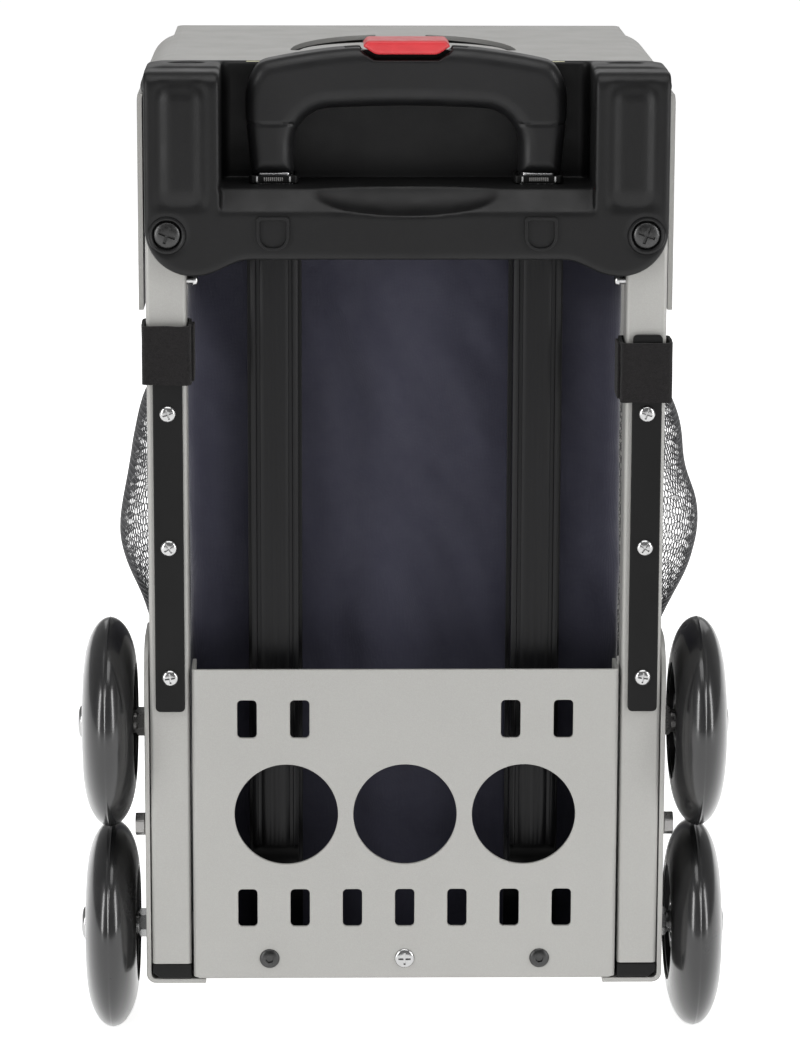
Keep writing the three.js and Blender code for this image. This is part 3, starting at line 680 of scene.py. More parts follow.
def seat_plate():
    s = span("seat_plate")
    bend, sheet, nose, top_y0 = 17.5, 2.5, 8.0, 50.3

    def solid(wall):
        over = 1 if wall else 0
        across = outline((s.x0 + wall, s.z0 - over, 0), (s.x1 - wall, s.z0 - over, 0),
                         (s.x1 - wall, s.z1 - wall, bend - wall),
                         (s.x0 + wall, s.z1 - wall, bend - wall), steps=14)
        side = outline((s.y0 - over, s.z0 - over - 1, 0), (s.y1 - wall, s.z0 - over - 1, 0),
                       (s.y1 - wall, s.z1 - wall, nose - wall), (s.y0 - over, s.z1 - wall, 0), steps=10)
        body = prism("seat_sheet", across, "y", s.y0 - over, s.y1)
        return common(body, prism("side", side, "x", s.x0 - 1, s.x1 + 1))

    seat = carve(solid(0), solid(sheet))
    cap_low = span("handle_housing").z1 - 13.2
    cutters = [block("rear", s.x0 - 1, s.x1 + 1, s.y0 - 1, top_y0, cap_low, s.z1 + 1),
               block("front", s.x0 - 1, s.x1 + 1, s.y1 - 10, s.y1 + 1, s.z0 - 1, s.z1 - 25)]
    for sign in (-1, 1):
        x0, x1 = sorted((sign * 123, sign * 140))
        cutters.append(block("notch", x0, x1, 198, s.y1 + 1, s.z0 - 1, s.z1 + 1))
        cutters.append(hand_slot(sign, s.z1))
    for cutter in cutters:
        carve(seat, cutter)
    roll_edges(seat, 0.6)
    finish_piece(seat, ALLOY, stands_for="seat_plate")


def hand_slot(sign, top):
    """Half of the crescent between two ellipses, on one side of the bridge."""
    bridge, tip = 13.5, 4.0
    outer = [(59 * math.cos(t), 106 + 90 * math.sin(t)) for t in np.linspace(0, math.acos(bridge / 59), 24)]
    inner = [(54.5 * math.cos(t), 101 + 52 * math.sin(t))
             for t in np.linspace(math.acos(bridge / 54.5), 0.08, 24)]
    shape = [(sign * x, y) for x, y in outer + inner]
    cutter = prism("slot", shape, "z", top - 6, top + 3)
    bevel = cutter.modifiers.new("bevel", "BEVEL")
    bevel.width = tip * 0.5 * MM
    bevel.segments = 4
    bevel.limit_method = "ANGLE"
    bevel.angle_limit = math.radians(50)
    return apply_modifiers(cutter)


def rear_post(side):
    s = span(f"rear_post_{side}")
    wall, corner = 2.0, 2.2
    tube = prism(f"rear_post_{side}_tube", rectangle(s.x0, s.x1, s.y0, s.y1, corner, 5), "z", s.z0, s.z1)
    carve(tube, prism("bore", rectangle(s.x0 + wall, s.x1 - wall, s.y0 + wall, s.y1 - wall, 1, 3), "z",
                      s.z0 - 1, s.z1 + 1))
    finish_piece(roll_edges(tube, 0.4), ALLOY, stands_for=f"rear_post_{side}")


def side_hoop(side):
    s = span(f"side_hoop_{side}")
    depth, bend, rear_top = 20.0, 34.0, 50.5
    middle = bend - depth / 2
    path = [((s.y0, s.z0 + depth / 2), (0, 1))]
    for y, z, a0, a1 in ((s.y1 - bend, s.z0 + bend, -90, 0), (s.y1 - bend, s.z1 - bend, 0, 90)):
        for point in arc(0, 0, 1, a0, a1, 16):
            path.append(((y + middle * point[0], z + middle * point[1]), (-point[0], -point[1])))
    path.append(((rear_top, s.z1 - depth / 2), (0, -1)))
    section = rectangle(-s.w / 2, s.w / 2, -depth / 2, depth / 2, 2.6, 5)
    rings = [[(s.x + a, y + b * iy, z + b * iz) for a, b in section] for (y, z), (iy, iz) in path]
    bar = swept(f"side_hoop_{side}_tube", rings)
    finish_piece(bar, ALLOY, stands_for=f"side_hoop_{side}")


def guard_strip(side, sign):
    s = span(f"guard_strip_{side}")
    shift = 1.2 if sign < 0 else 0.0  # the left strip sits a little nearer the middle
    s.x0, s.x1, s.x = s.x0 + shift, s.x1 + shift, s.x + shift
    strip = prism(f"guard_strip_{side}_bar", rectangle(s.x0, s.x1, s.z0, s.z1, 2.4, 5), "y", s.y0, s.y1)
    finish_piece(roll_edges(strip, 0.7, 3), STRIP_PLASTIC, stands_for=f"guard_strip_{side}")
    for i, z in enumerate((337.7, 268.3, 200.2)):
        pan_head(f"guard_screw_{side}_{i}", s.x, s.y0, z, 4.3, 2.1, CHROME,
                 tilt=math.radians((20, 35, 8)[i] * sign))


def front_foot(side):
    s = span(f"front_foot_{side}")
    low, top = s.w / 2, 11.5
    profile = [(0, 0), (0, low - 2.5)] + [(2 - 2 * math.cos(t), low - 2 + 2 * math.sin(t))
                                          for t in np.linspace(0.3, math.pi / 2, 6)]
    profile += [(7, low), (9, low - 1.2), (s.z1 - 5, top), (s.z1 - 3.5, top + 0.6), (s.z1 - 0.6, top + 0.6),
                (s.z1, top), (s.z1, 0)]
    foot = lathe(f"front_foot_{side}_rubber", profile, "z", (s.x, s.y, 0), 56)
    finish_piece(foot, STRIP_PLASTIC, stands_for=f"front_foot_{side}")


# ---------------------------------------------------------------- handle housing
HOUSING_FLOOR = 451.5


def housing():
    s = span("handle_housing")
    half, lobe_x, lobe_r, beam_low = 131.3, 107.0, 24.3, 416.5
    recess_half, floor, lip, back = 93.5, HOUSING_FLOOR, 440.0, 46.5
    step = 1.1
    grid = sample_grid((s.x0, s.y0 - 3, s.z0), (s.x1, s.y1, s.z1), step)
    x, y, z = grid
    far = np.abs(x)

    lobes = np.hypot(far - lobe_x, z - (s.z0 + lobe_r)) - lobe_r
    uprights = round_corner(far - half, s.z0 + lobe_r - z, 0.1)
    beam = round_corner(far - lobe_x, beam_low - z, 0.1)
    rear_view = soft_min(np.minimum(lobes, uprights), beam, 9)
    body = round_corner(rear_view, slab(y, s.y0, s.y1), 3.2)
    body = soft_max(body, round_corner(s.y0 - y, z - s.z1, 9), 1.5)
    cap = box_field(grid, (s.x0, 20, 497.6), (s.x1, s.y1, s.z1 + 14), 4)
    cap = soft_max(cap, round_corner(far - s.x1, z - s.z1, 13), 1)
    body = soft_min(body, cap, 4)

    # The recess that the grip drops into, its sloping ledge and the scoop for the fingers.
    well = np.maximum(round_corner(far - recess_half, y - back, 5), floor - z)
    body = soft_max(body, -well, 2.2)
    rise = math.atan2(floor - lip, 12)
    ledge = (z - lip) * math.cos(rise) - (y - s.y0) * math.sin(rise)
    body = soft_max(body, -np.maximum(np.maximum(-ledge, far - recess_half), z - floor - 3), 1.2)
    scoop = ellipsoid_field(grid, (0, s.y0, 457.5), (60, 22, 18.5))
    body = soft_max(body, -scoop, 0.8)

    # Upright cushions beside the recess: a shallow tray in the face with a full round bar in it.
    tray = box_field((far, y, z), (96.8, s.y0 - 8, 438.5), (129.2, s.y0 + 1.6, 509.5), 7)
    body = soft_max(body, -tray, 1.4)
    bar = box_field((far, y, z), (98.6, s.y0 - 1.4, 441), (127.4, s.y0 + 22, 507.2), 11.5)
    body = soft_min(body, bar, 1.8)

    # Seats for the corner screws, an oval well in the top of each pod, and the bores for the rails.
    body = soft_max(body, -round_corner(np.hypot(far - 120, z - 429) - 10.2, y - s.y0 - 1.1, 0.3), 0.7)
    body = soft_max(body, -round_corner(np.hypot(far - 120, z - 429) - 7.4, y - s.y0 - 2.6, 0.3), 0.5)
    body = soft_max(body, -ellipsoid_field((far, y, z), (111, 38, s.z1), (8.5, 3.4, 3.5)), 0.8)
    rail = span("rail_right")
    bore = np.maximum(slab(far, rail.x0 - 0.5, rail.x1 + 0.5), slab(y, rail.y0 - 0.5, rail.y1 + 0.5))
    body = np.maximum(body, -np.maximum(bore, z - rail.z1 - 0.5))
    slim = np.maximum(slab(far, rail.x - 10.6, rail.x + 10.6), slab(y, rail.y - 8.6, rail.y + 8.6))
    body = np.maximum(body, -slim)
    backing = span("rail_backing_right")
    behind = np.maximum(slab(far, backing.x0 - 0.5, backing.x1 + 0.5), rail.y1 - 1 - y)
    body = np.maximum(body, -np.maximum(behind, z - backing.z1 - 0.5))

    # Each post stands in a notch, and the pods and the beam are hollow from the front.
    post = span("rear_post_right")
    notch = np.maximum(slab(far, post.x0 - 0.4, post.x1 + 20), slab(y, post.y0 - 0.4, post.y1 + 0.4))
    body = np.maximum(body, -np.maximum(notch, z - post.z1 - 0.4))
    pod = np.maximum(slab(far, post.x0 - 12, half - 3), post.y1 + 2.5 - y)
    body = np.maximum(body, -np.maximum(pod, slab(z, 424, s.z1 - 4)))
    obj = surface("housing_shell", grid, body, step)
    smooth_points(obj, 2)
    finish_piece(obj, HOUSING_PLASTIC, stands_for="handle_housing", sharp=60)

    for side, sign in SIDES:
        corner_screw(side, sign * 120, s.y0, 429)
        shield(side, sign * 67, s.y0, 430)
        cream_strip(side, sign)
        rivet(side, sign)


def smooth_points(obj, times):
    work = bmesh.new()
    work.from_mesh(obj.data)
    for _ in range(times):
        bmesh.ops.smooth_vert(work, verts=work.verts, factor=0.35,
                              use_axis_x=True, use_axis_y=True, use_axis_z=True)
    work.to_mesh(obj.data)
    work.free()


def corner_screw(side, x, y, z):
    ring = [(0.4, 7.9), (0.1, 8.4), (0.3, 9.2), (1.0, 9.6), (1.6, 9.3), (1.6, 7.9)]
    collar = lathe(f"housing_screw_collar_{side}", [(a, r) for a, r in ring], "y", (x, y, z), 56)
    finish_piece(collar, HOUSING_PLASTIC, sharp=30)
    pan_head(f"housing_screw_{side}", x, y + 2.2, z, 7.0, 2.3, BLACK_STEEL, tilt=math.radians(20))


def shield(side, x, y, z):
    """A plain raised shield outline on the beam."""
    def shape(grow):
        half, top, low = 8.2 + grow, 8.4 + grow, -8.6 - grow
        corners = outline((half, top, 1.6), (-half, top, 1.6),
                          (-half, low, 7.4 + grow), (half, low, 7.4 + grow), steps=7)
        return [(x + a, z + b) for a, b in corners]
    frame_line = prism(f"housing_shield_{side}", shape(0), "y", y - 1.3, y + 0.8)
    carve(frame_line, prism("inside", shape(-1.5), "y", y - 2, y + 2))
    finish_piece(roll_edges(frame_line, 0.35, 3), HOUSING_PLASTIC)


def cream_strip(side, sign):
    s = span("handle_housing")
    x0, x1 = sorted((sign * 70, sign * 81.2))
    strip = prism(f"housing_spacer_{side}", rectangle(x0, x1, s.y1 - 2.6, s.y1 + 0.2, 0.6, 3), "z",
                  s.z1 - 2, s.z1 + 0.7)
    finish_piece(roll_edges(strip, 0.3), CREAM)


def rivet(side, sign):
    post = span(f"rear_post_{side}")
    face = post.x0 if sign > 0 else post.x1
    profile = [(-1, 0), (-1, 2.2), (3.2, 2.2), (3.4, 3.0), (5.0, 2.8), (5.8, 1.6), (6.0, 0)]
    pin = lathe(f"post_rivet_{side}", profile, "x", (face, 10, 404.4), 32, -sign)
    finish_piece(pin, CHROME)


# ---------------------------------------------------------------- telescoping handle
def grip():
    s = span("grip")
    rail = span("rail_right")
    half, step = 81.0, 0.8
    grid = sample_grid((s.x0 - 1, s.y0, s.z0), (s.x1 + 1, s.y1, s.z1 + 3), step)
    x, y, z = grid
    far = np.abs(x)
    lean = 1 + (half / 78 - 1) * np.clip((486 - z) / 30, 0, 1)
    arch_r, arch_top = 330.0, s.z1 + 2.0
    outer = round_corner(far * lean - half, z - arch_top, 27)
    outer = soft_max(outer, np.hypot(x, z - (arch_top - arch_r)) - arch_r, 2)
    outer = np.maximum(outer, s.z0 - z)
    inner = round_corner(far - 56.8, z - 490.5 + far * far * 0.0008, 17)
    view = soft_max(outer, -inner, 1)
    depth = np.abs(y - s.y) - s.d / 2
    # The broad face slopes back towards the opening, from a crease 8 mm outside it.
    face = depth + 0.16 * np.clip(9 - inner, 0, 9)
    body = round_corner(view, face, 7.2)
    groove = np.maximum(np.abs(z - 482) - 0.55, far * 0 + 57 - far)
    body = np.maximum(body, -np.maximum(groove, -(body + 0.8)))
    button = span("release_button")
    # The well clears the button through its whole 2.5 mm travel.
    well_low, well_half = 514.0, 16.0
    lower = np.maximum(far - well_half - np.clip((z - well_low) * 1.6, 0, 7), well_low - z)
    body = np.maximum(body, -np.maximum(lower, slab(y, s.y0 - 2, s.y1 + 2)))
    # A wider slot in the middle of the grip, for the button's skirt.
    slot = np.maximum(far - 23 - np.clip((z - well_low) * 1.6, 0, 9), slab(z, 506.5, 519.6))
    body = np.maximum(body, -np.maximum(slot, slab(y, rail.y - 3.4, rail.y + 3.4)))
    tube = span("inner_tube_right")
    bore = np.maximum(slab(far, tube.x0 - 0.4, tube.x1 + 0.4), slab(y, tube.y0 - 0.4, tube.y1 + 0.4))
    body = np.maximum(body, -np.maximum(bore, z - tube.z1 - 0.4))
    obj = surface("grip_shell", grid, body, step)
    smooth_points(obj, 1)
    finish_piece(obj, GRIP_PLASTIC, "handle_grip", "grip", sharp=60)

    release_button(button, rail.y)


def release_button(s, stem_y):
    """A red cap that widens upwards to a crest and then leans in to its flat top."""
    step, low_half, low_z, crest_half, crest_z, top_half, top_z = 0.5, 15.5, 516.9, 22.0, 521.0, 19.6, 523.9
    grid = sample_grid((-crest_half, s.y0, low_z), (crest_half, s.y1, top_z), step)
    x, y, z = grid
    far = np.abs(x)

    def beyond(a, b, c, d):
        """Distance outside the line from (a, b) up to (c, d)."""
        return ((far - a) * (d - b) - (z - b) * (c - a)) / math.hypot(c - a, d - b)

    view = soft_max(beyond(low_half, low_z, crest_half, crest_z),
                    beyond(crest_half, crest_z, top_half, top_z), 0.8)
    view = soft_max(view, np.maximum(low_z - z, z - top_z), 0.9)
    cap = surface("release_cap", grid, round_corner(view, np.abs(y - s.y) - s.d / 2, 1.8), step)
    smooth_points(cap, 1)
    finish_piece(cap, RED, "release", "release_button", sharp=60)
    # The stem and skirt are the button's real parts, but their black is painted shade: it stands in for the
    # shadow in the gap under the red cap.
    stem = block("release_button_stem", -8, 8, stem_y - 2.6, stem_y + 2.6, 499, 511)
    skirt = prism("skirt", [(-17.5, 509.8), (17.5, 509.8), (17.5, 514), (24.2, 518.2), (-24.2, 518.2),
                            (-17.5, 514)], "y", stem_y - 2.6, stem_y + 2.6)
    stem = joined("release_button_stem", [stem, skirt])
    finish_piece(roll_edges(stem, 0.4), STRIP_PLASTIC, "release")


def rail(side):
    s = span(f"rail_{side}")
    groove, band = min(2.0, span(f"mid_tube_{side}").y0 - 0.9 - s.y0), 6.2
    left = [(-s.w / 2 + across, s.y0 + deep) for across, deep in
            ((0, 0.9), (1.7, 0), (2.6, 0), (3.0, groove), (band - 1.6, groove), (band - 1.4, 1.3),
             (band, 0.6))]
    ribs = []
    for k in range(-2, 3):
        ribs += [(k * 2.2 - 0.8, s.y0 + 0.6), (k * 2.2 - 0.5, s.y0 + 0.45), (k * 2.2 + 0.5, s.y0 + 0.45),
                 (k * 2.2 + 0.8, s.y0 + 0.6)]
    right = [(-a, b) for a, b in reversed(left)]
    back = [(s.w / 2, s.y1), (-s.w / 2, s.y1)]
    section = [(s.x + a, b) for a, b in left + ribs + right + back]
    body = prism(f"rail_{side}_extrusion", section, "z", s.z0, s.z1)
    tube = span(f"mid_tube_{side}")
    carve(body, block("bore", tube.x0 - 0.4, tube.x1 + 0.4, tube.y0 - 0.4, tube.y1 + 0.4, s.z0 - 1, s.z1 + 1))
    finish_piece(body, TUBE, stands_for=f"rail_{side}", sharp=35)
    rail_collar(side, tube)
    refined(f"rail_plug_{side}", STRIP_PLASTIC, 0.6)
    refined(f"rail_backing_{side}", TUBE, 0.4)
    refined(f"mid_tube_{side}", TELESCOPE, 0.15, 1, "handle_mid")
    refined(f"inner_tube_{side}", TELESCOPE, 0.15, 1, "handle_grip")
    refined(f"release_rod_{side}", CHROME, 0, 1, "release")


def rail_collar(side, tube):
    """A dark collar round the telescope where it leaves the rail, with two bright spring ends."""
    low, high = HOUSING_FLOOR + 0.3, span("grip").z0 - 0.5
    wide, deep, gap = 12.4, 10.4, 0.6
    middle = (tube.y0 + tube.y1) / 2
    collar = prism(f"rail_collar_{side}", rectangle(tube.x - wide, tube.x + wide, middle - deep,
                                                    middle + deep, 2.2, 5), "z", low, high)
    carve(collar, block("bore", tube.x0 - gap, tube.x1 + gap, tube.y0 - gap, tube.y1 + gap,
                        low - 1, high + 1))
    finish_piece(roll_edges(collar, 0.5, 3, 50), STRIP_PLASTIC)
    ticks = [block("tick", tube.x + a - 0.4, tube.x + a + 0.4, middle - deep - 0.4, middle - deep + 1,
                   low + 0.7, high - 0.5) for a in (-8.3, 8.3)]
    finish_piece(joined(f"rail_collar_springs_{side}", ticks), CHROME)
    ribs = [block("rib", tube.x + a - 0.3, tube.x + a + 0.3, middle - deep - 0.4, middle - deep + 1,
                  low + 1.2, high - 0.9) for a in np.arange(-4.5, 4.6, 1.0)]
    finish_piece(joined(f"rail_collar_ribs_{side}", ribs), DARK_ZINC)


# ---------------------------------------------------------------- wheels
def wheel(level, side, sign):
    name = f"{level}_{side}"
    body = f"wheel_{name}"
    t = span(f"tyre_{name}")
    centre = (t.x, t.y, t.z)
    radius, half, side_r, hub_r = t.h / 2, t.w / 2, 28.0, 31.0
    start = math.asin((hub_r - side_r) / (radius - side_r))
    tread = []
    for a in np.linspace(start, math.pi - start, 97):
        ridge = 0.3 * math.exp(-((a - math.pi / 2) / 0.03) ** 2)
        tread.append((-half * math.cos(a), side_r + (radius - side_r - 0.22) * math.sin(a) + ridge))
    bead = [(half * math.cos(start) * 0.92, hub_r - 0.6), (8, hub_r + 0.2), (6, hub_r + 3),
            (-6, hub_r + 3), (-8, hub_r + 0.2), (-half * math.cos(start) * 0.92, hub_r - 0.6)]
    tyre = lathe(f"tyre_{name}_tread", tread + bead, "x", centre, 112, sign)
    finish_piece(tyre, TYRE, body, f"tyre_{name}", sharp=40)

    rim = [(-12, hub_r - 0.4), (12, hub_r - 0.4), (12, 27.6), (4.2, 27), (3.0, 26), (2.2, 16.5), (4, 15),
           (11, 14.2), (11, 11.3), (-11, 11.3), (-11, 14.2), (-4, 15), (-2.2, 16.5), (-3.0, 26),
           (-4.2, 27), (-12, 27.6)]
    shells = [lathe("rim", rim, "x", centre, 72, sign)]
    for k in range(6):
        spoke = block("spoke", centre[0] - 8.6, centre[0] + 8.6, centre[1] - 1.6, centre[1] + 1.6,
                      centre[2] + 13.5, centre[2] + 28)
        pivot = Vector((centre[0] * MM, (centre[1] + REAR) * MM, centre[2] * MM))
        spoke.data.transform(Matrix.Translation(pivot) @ Matrix.Rotation(math.radians(60 * k + 15), 4, "X")
                             @ Matrix.Translation(-pivot))
        shells.append(roll_edges(spoke, 0.5))
    finish_piece(joined(f"hub_{name}_core", shells), HUB_PLASTIC, body, f"hub_{name}", sharp=35)

    race = [(-11, 4.3), (11, 4.3), (11, 5.9), (10.6, 6.1), (10.3, 9.2), (10.6, 9.4), (11, 9.6), (11, 11),
            (4, 11), (4, 6.2), (-4, 6.2), (-4, 11), (-11, 11), (-11, 9.6), (-10.6, 9.4), (-10.3, 9.2),
            (-10.6, 6.1), (-11, 5.9)]
    finish_piece(lathe(f"bearings_{name}", race, "x", centre, 48, sign), CHROME, body,
                 f"bearing_set_{name}", sharp=30)

    inner = 131.7 - abs(t.x)
    bolt = [(inner, 0), (inner, 3.9), (11.3, 3.9), (11.3, 6.2), (13.4, 6.2), (13.4, 8.3), (13.8, 8.7),
            (14.8, 8.7), (15.7, 8.1), (16.4, 6.7), (16.8, 4.2), (16.9, 0)]
    finish_piece(lathe(f"axle_{name}_bolt", bolt, "x", centre, 48, sign), CHROME,
                 stands_for=f"axle_{name}", sharp=35)
    hex_nut(name, centre, sign)


def hex_nut(name, centre, sign):
    """The nut between the bracket and the wheel, with its corners turned off, and its collar."""
    plate = span(f"wheel_bracket_{name.split('_')[1]}")
    inner = sign * (max(abs(plate.x0), abs(plate.x1)) + 0.3)
    reach = 7.6
    hexagon = [(centre[1] + reach * math.cos(math.radians(60 * k + 12)),
                centre[2] + reach * math.sin(math.radians(60 * k + 12))) for k in range(6)]
    x0, x1 = sorted((inner, inner + sign * 5))
    nut = prism(f"axle_nut_{name}_hex", hexagon, "x", x0, x1)
    cone = [(-0.1, 0), (-0.1, 6.6), (1.0, 7.6), (4.0, 7.6), (5.1, 6.6), (5.1, 0)]
    common(nut, lathe("cone", cone, "x", (inner, centre[1], centre[2]), 48, sign))
    wheel_face = abs(centre[0]) - 11.3 - abs(inner)
    collar = [(2, 4.4), (2, 6), (wheel_face, 6), (wheel_face, 4.4)]
    ring = lathe("collar", collar, "x", (inner, centre[1], centre[2]), 40, sign)
    shell = joined(f"axle_nut_{name}_hex_and_collar", [roll_edges(nut, 0.3), ring])
    finish_piece(shell, DARK_ZINC if "lower" not in name else CHROME, stands_for=f"axle_nut_{name}")


# ---------------------------------------------------------------- soft goods
def ripple(x, y, z, size, seed):
    """Smooth noise from -1 to 1 with creases about that many millimetres apart."""
    return noise.noise(Vector((x / size + seed, y / size, z / size - seed)))


def bag_body():
    """A slack nylon box, open at the front, that bellies between the rails and sinks a little at its top."""
    s = span("bag_shell")
    step, wall, corner = 3.0, 4.6, 7.0
    grid = sample_grid((s.x0, s.y0, s.z0), (s.x1, s.y1, s.z1), step)
    outer = box_field(grid, (s.x0, s.y0, s.z0), (s.x1, s.y1 + 40, s.z1), corner)
    inner = box_field(grid, (s.x0 + wall, s.y0 + wall, s.z0 + wall),
                      (s.x1 - wall, s.y1 + 60, s.z1 - wall), corner - wall)
    field = np.maximum(np.maximum(outer, -inner), grid[1] - s.y1)
    obj = surface("bag_body_cloth", grid, field, step)
    smooth_points(obj, 1)
    rail_x = span("rail_right").x
    for vertex in obj.data.vertices:
        x, y, z = vertex.co.x / MM, vertex.co.y / MM - REAR, vertex.co.z / MM
        slack = min(1.0, max(0.0, (s.y1 - 12 - y) / 40))
        panel = max(0.0, math.cos(math.pi * x / (2 * s.x1))) * math.sin(math.pi * (z - s.z0) / s.h)
        between = 1 - math.exp(-((abs(x) - rail_x) / 22) ** 2)
        rear = max(0.0, 1 - (y - s.y0) / 30)
        drape = ripple(x * 1.0 + z * 0.5, y, z * 0.35 - x * 0.2, 58, 3.1) * 5.0
        crease = ripple(x * 1.6 + z * 0.9, y * 1.2, z * 0.7 - x * 0.7, 30, 7.7) * 2.0
        taut = 0.35 + 0.65 * between
        vertex.co.y -= rear * (between * 1.6 * panel + (drape + crease) * taut) * slack * MM
        flank = min(1.0, max(0.0, (abs(x) - 70) / 30)) * slack
        push = ripple(x, y * 1.2, z * 0.6, 70, 1.3) * 1.6 + ripple(x, y * 1.5 + z * 0.5, z, 26, 5.9) * 0.7
        vertex.co.x += math.copysign(flank * (push - 2.2), x) * MM
        lid = min(1.0, max(0.0, (z - 440) / 40)) * slack
        vertex.co.z -= lid * (2.2 * panel + 1.2 * ripple(x, y, z, 45, 2.2) + 1) * MM
    finish_piece(obj, NAVY, stands_for="bag_shell", sharp=70)


def piping(name, path, radius, look, body="frame"):
    rings = tube_along(path, radius, 10, closed=True)
    return finish_piece(swept(name, rings, closed=True), look, body)


def front_panel():
    """The zipped front: a padded panel, a lower pocket, and the zip that runs round three sides."""
    s = span("front_flap")
    body = "front_flap"
    step_x, step_z = 3.2, 3.2
    nx, nz = int(s.w / step_x), int(s.h / step_z)
    corner = 18.0
    points, faces = [], []
    for face in (0, 1):
        for j in range(nz + 1):
            for i in range(nx + 1):
                a, b = 2 * i / nx - 1, 2 * j / nz - 1
                x, z = s.x + a * s.w / 2, s.z + b * s.h / 2
                over_x, over_z = abs(x - s.x) - (s.w / 2 - corner), abs(z - s.z) - (s.h / 2 - corner)
                if over_x > 0 and over_z > 0:
                    shrink = max(over_x, over_z) / math.hypot(over_x, over_z)
                    x = s.x + math.copysign(s.w / 2 - corner + over_x * shrink, a)
                    z = s.z + math.copysign(s.h / 2 - corner + over_z * shrink, b)
                flat, rise = 15.0, 16.0
                edge = (min(1.0, max(0.0, (1 - abs(a)) * s.w / 2 - flat) / rise)
                        * min(1.0, max(0.0, (1 - abs(b)) * s.h / 2 - flat) / rise))
                belly = edge ** 0.6 * (2.2 + 1.5 * ripple(x, 0, z * 0.6, 60, 4.4)
                                       + 0.6 * ripple(x + z, 0, z, 24, 8.1))
                y = s.y0 + (0.2 if face == 0 else 3.0 + belly)
                points.append((x, y, z))
    row = nx + 1
    sheet = (nz + 1) * row
    for j in range(nz):
        for i in range(nx):
            a = j * row + i
            faces.append((a, a + 1, a + row + 1, a + row))
            faces.append((sheet + a, sheet + a + row, sheet + a + row + 1, sheet + a + 1))
    rim = [i for i in range(row)] + [j * row + nx for j in range(1, nz + 1)]
    rim += [nz * row + i for i in range(nx - 1, -1, -1)] + [j * row for j in range(nz - 1, 0, -1)]
    for k, a in enumerate(rim):
        b = rim[(k + 1) % len(rim)]
        faces.append((a, sheet + a, sheet + b, b))
    panel = face_outwards(mesh_object("front_flap_cloth", points, faces))
    finish_piece(panel, NAVY, body, "front_flap", sharp=70)

    rim_line = rectangle(s.x0 + 1.4, s.x1 - 1.4, s.z0 + 1.4, s.z1 - 1.4, 17, 12)
    piping("front_flap_piping", [(a, s.y1 - 0.9, b) for a, b in rim_line], 1.7, TAPE, body)
    zip_track("front_flap_zip", s, 9.0, s.y1 - 0.5, body)
    front_pocket(s, body)


def zip_track(name, s, inset, y, body):
    """A zip round the panel's edge: two tapes, a coil of teeth and a slider with a pull."""
    def track(d):
        return rectangle(s.x0 + d, s.x1 - d, s.z0 + d, s.z1 - d, 18 - d * 0.6, 12)
    rings = []
    middle = track(inset)
    for (a, b), (c, d) in zip(track(inset - 5), track(inset + 5)):
        rings.append([(a, y, b), (a, y + 0.9, b), (c, y + 0.9, d), (c, y, d)])
    finish_piece(swept(name + "_tape", rings, closed=True), TAPE, body)
    line = [Vector((a, y + 1.1, b)) for a, b in middle]
    teeth = []
    pitch, owed = 2.0, 0.0
    for here, after in zip(line, line[1:] + line[:1]):
        run = after - here
        while owed < run.length:
            ahead = run.normalized()
            across = ahead.cross(Vector((0, 1, 0)))
            at = here + ahead * owed
            lean = 1 if len(teeth) % 2 else -1
            teeth.append((at + across * 0.5 * lean, ahead, across))
            owed += pitch / 2
        owed -= run.length
    points, faces = [], []
    for at, ahead, across in teeth:
        base = len(points)
        for k in range(8):
            u, v, w = (1 if k & 1 else -1), (1 if k & 2 else -1), (1 if k & 4 else -1)
            shrink = 0.7 if v > 0 else 1
            points.append(at + across * (1.6 * u * shrink) + ahead * (0.38 * w * shrink)
                          + Vector((0, 0.5 * v, 0)))
        faces += [tuple(base + k for k in f) for f in ((0, 1, 3, 2), (4, 6, 7, 5), (0, 4, 5, 1),
                                                       (2, 3, 7, 6), (0, 2, 6, 4), (1, 5, 7, 3))]
    finish_piece(face_outwards(mesh_object(name + "_teeth", points, faces)), COIL, body)
    x, z = s.x1 - inset, s.z - s.h * 0.18
    slider = prism(name + "_slider", rectangle(x - 3.6, x + 3.6, z - 5.5, z + 5.5, 2.4, 5), "y",
                   y + 0.8, y + 3.4)
    finish_piece(roll_edges(slider, 0.7, 3), DARK_ZINC, body)
    pull = prism(name + "_pull", rectangle(x - 2.6, x + 2.6, z - 27, z - 3, 2.2, 5), "y", y + 3.5, y + 4.8)
    carve(pull, prism("eye", rectangle(x - 1.3, x + 1.3, z - 24, z - 17, 1.2, 4), "y", y + 2, y + 6))
    finish_piece(roll_edges(pull, 0.4, 2), DARK_ZINC, body)


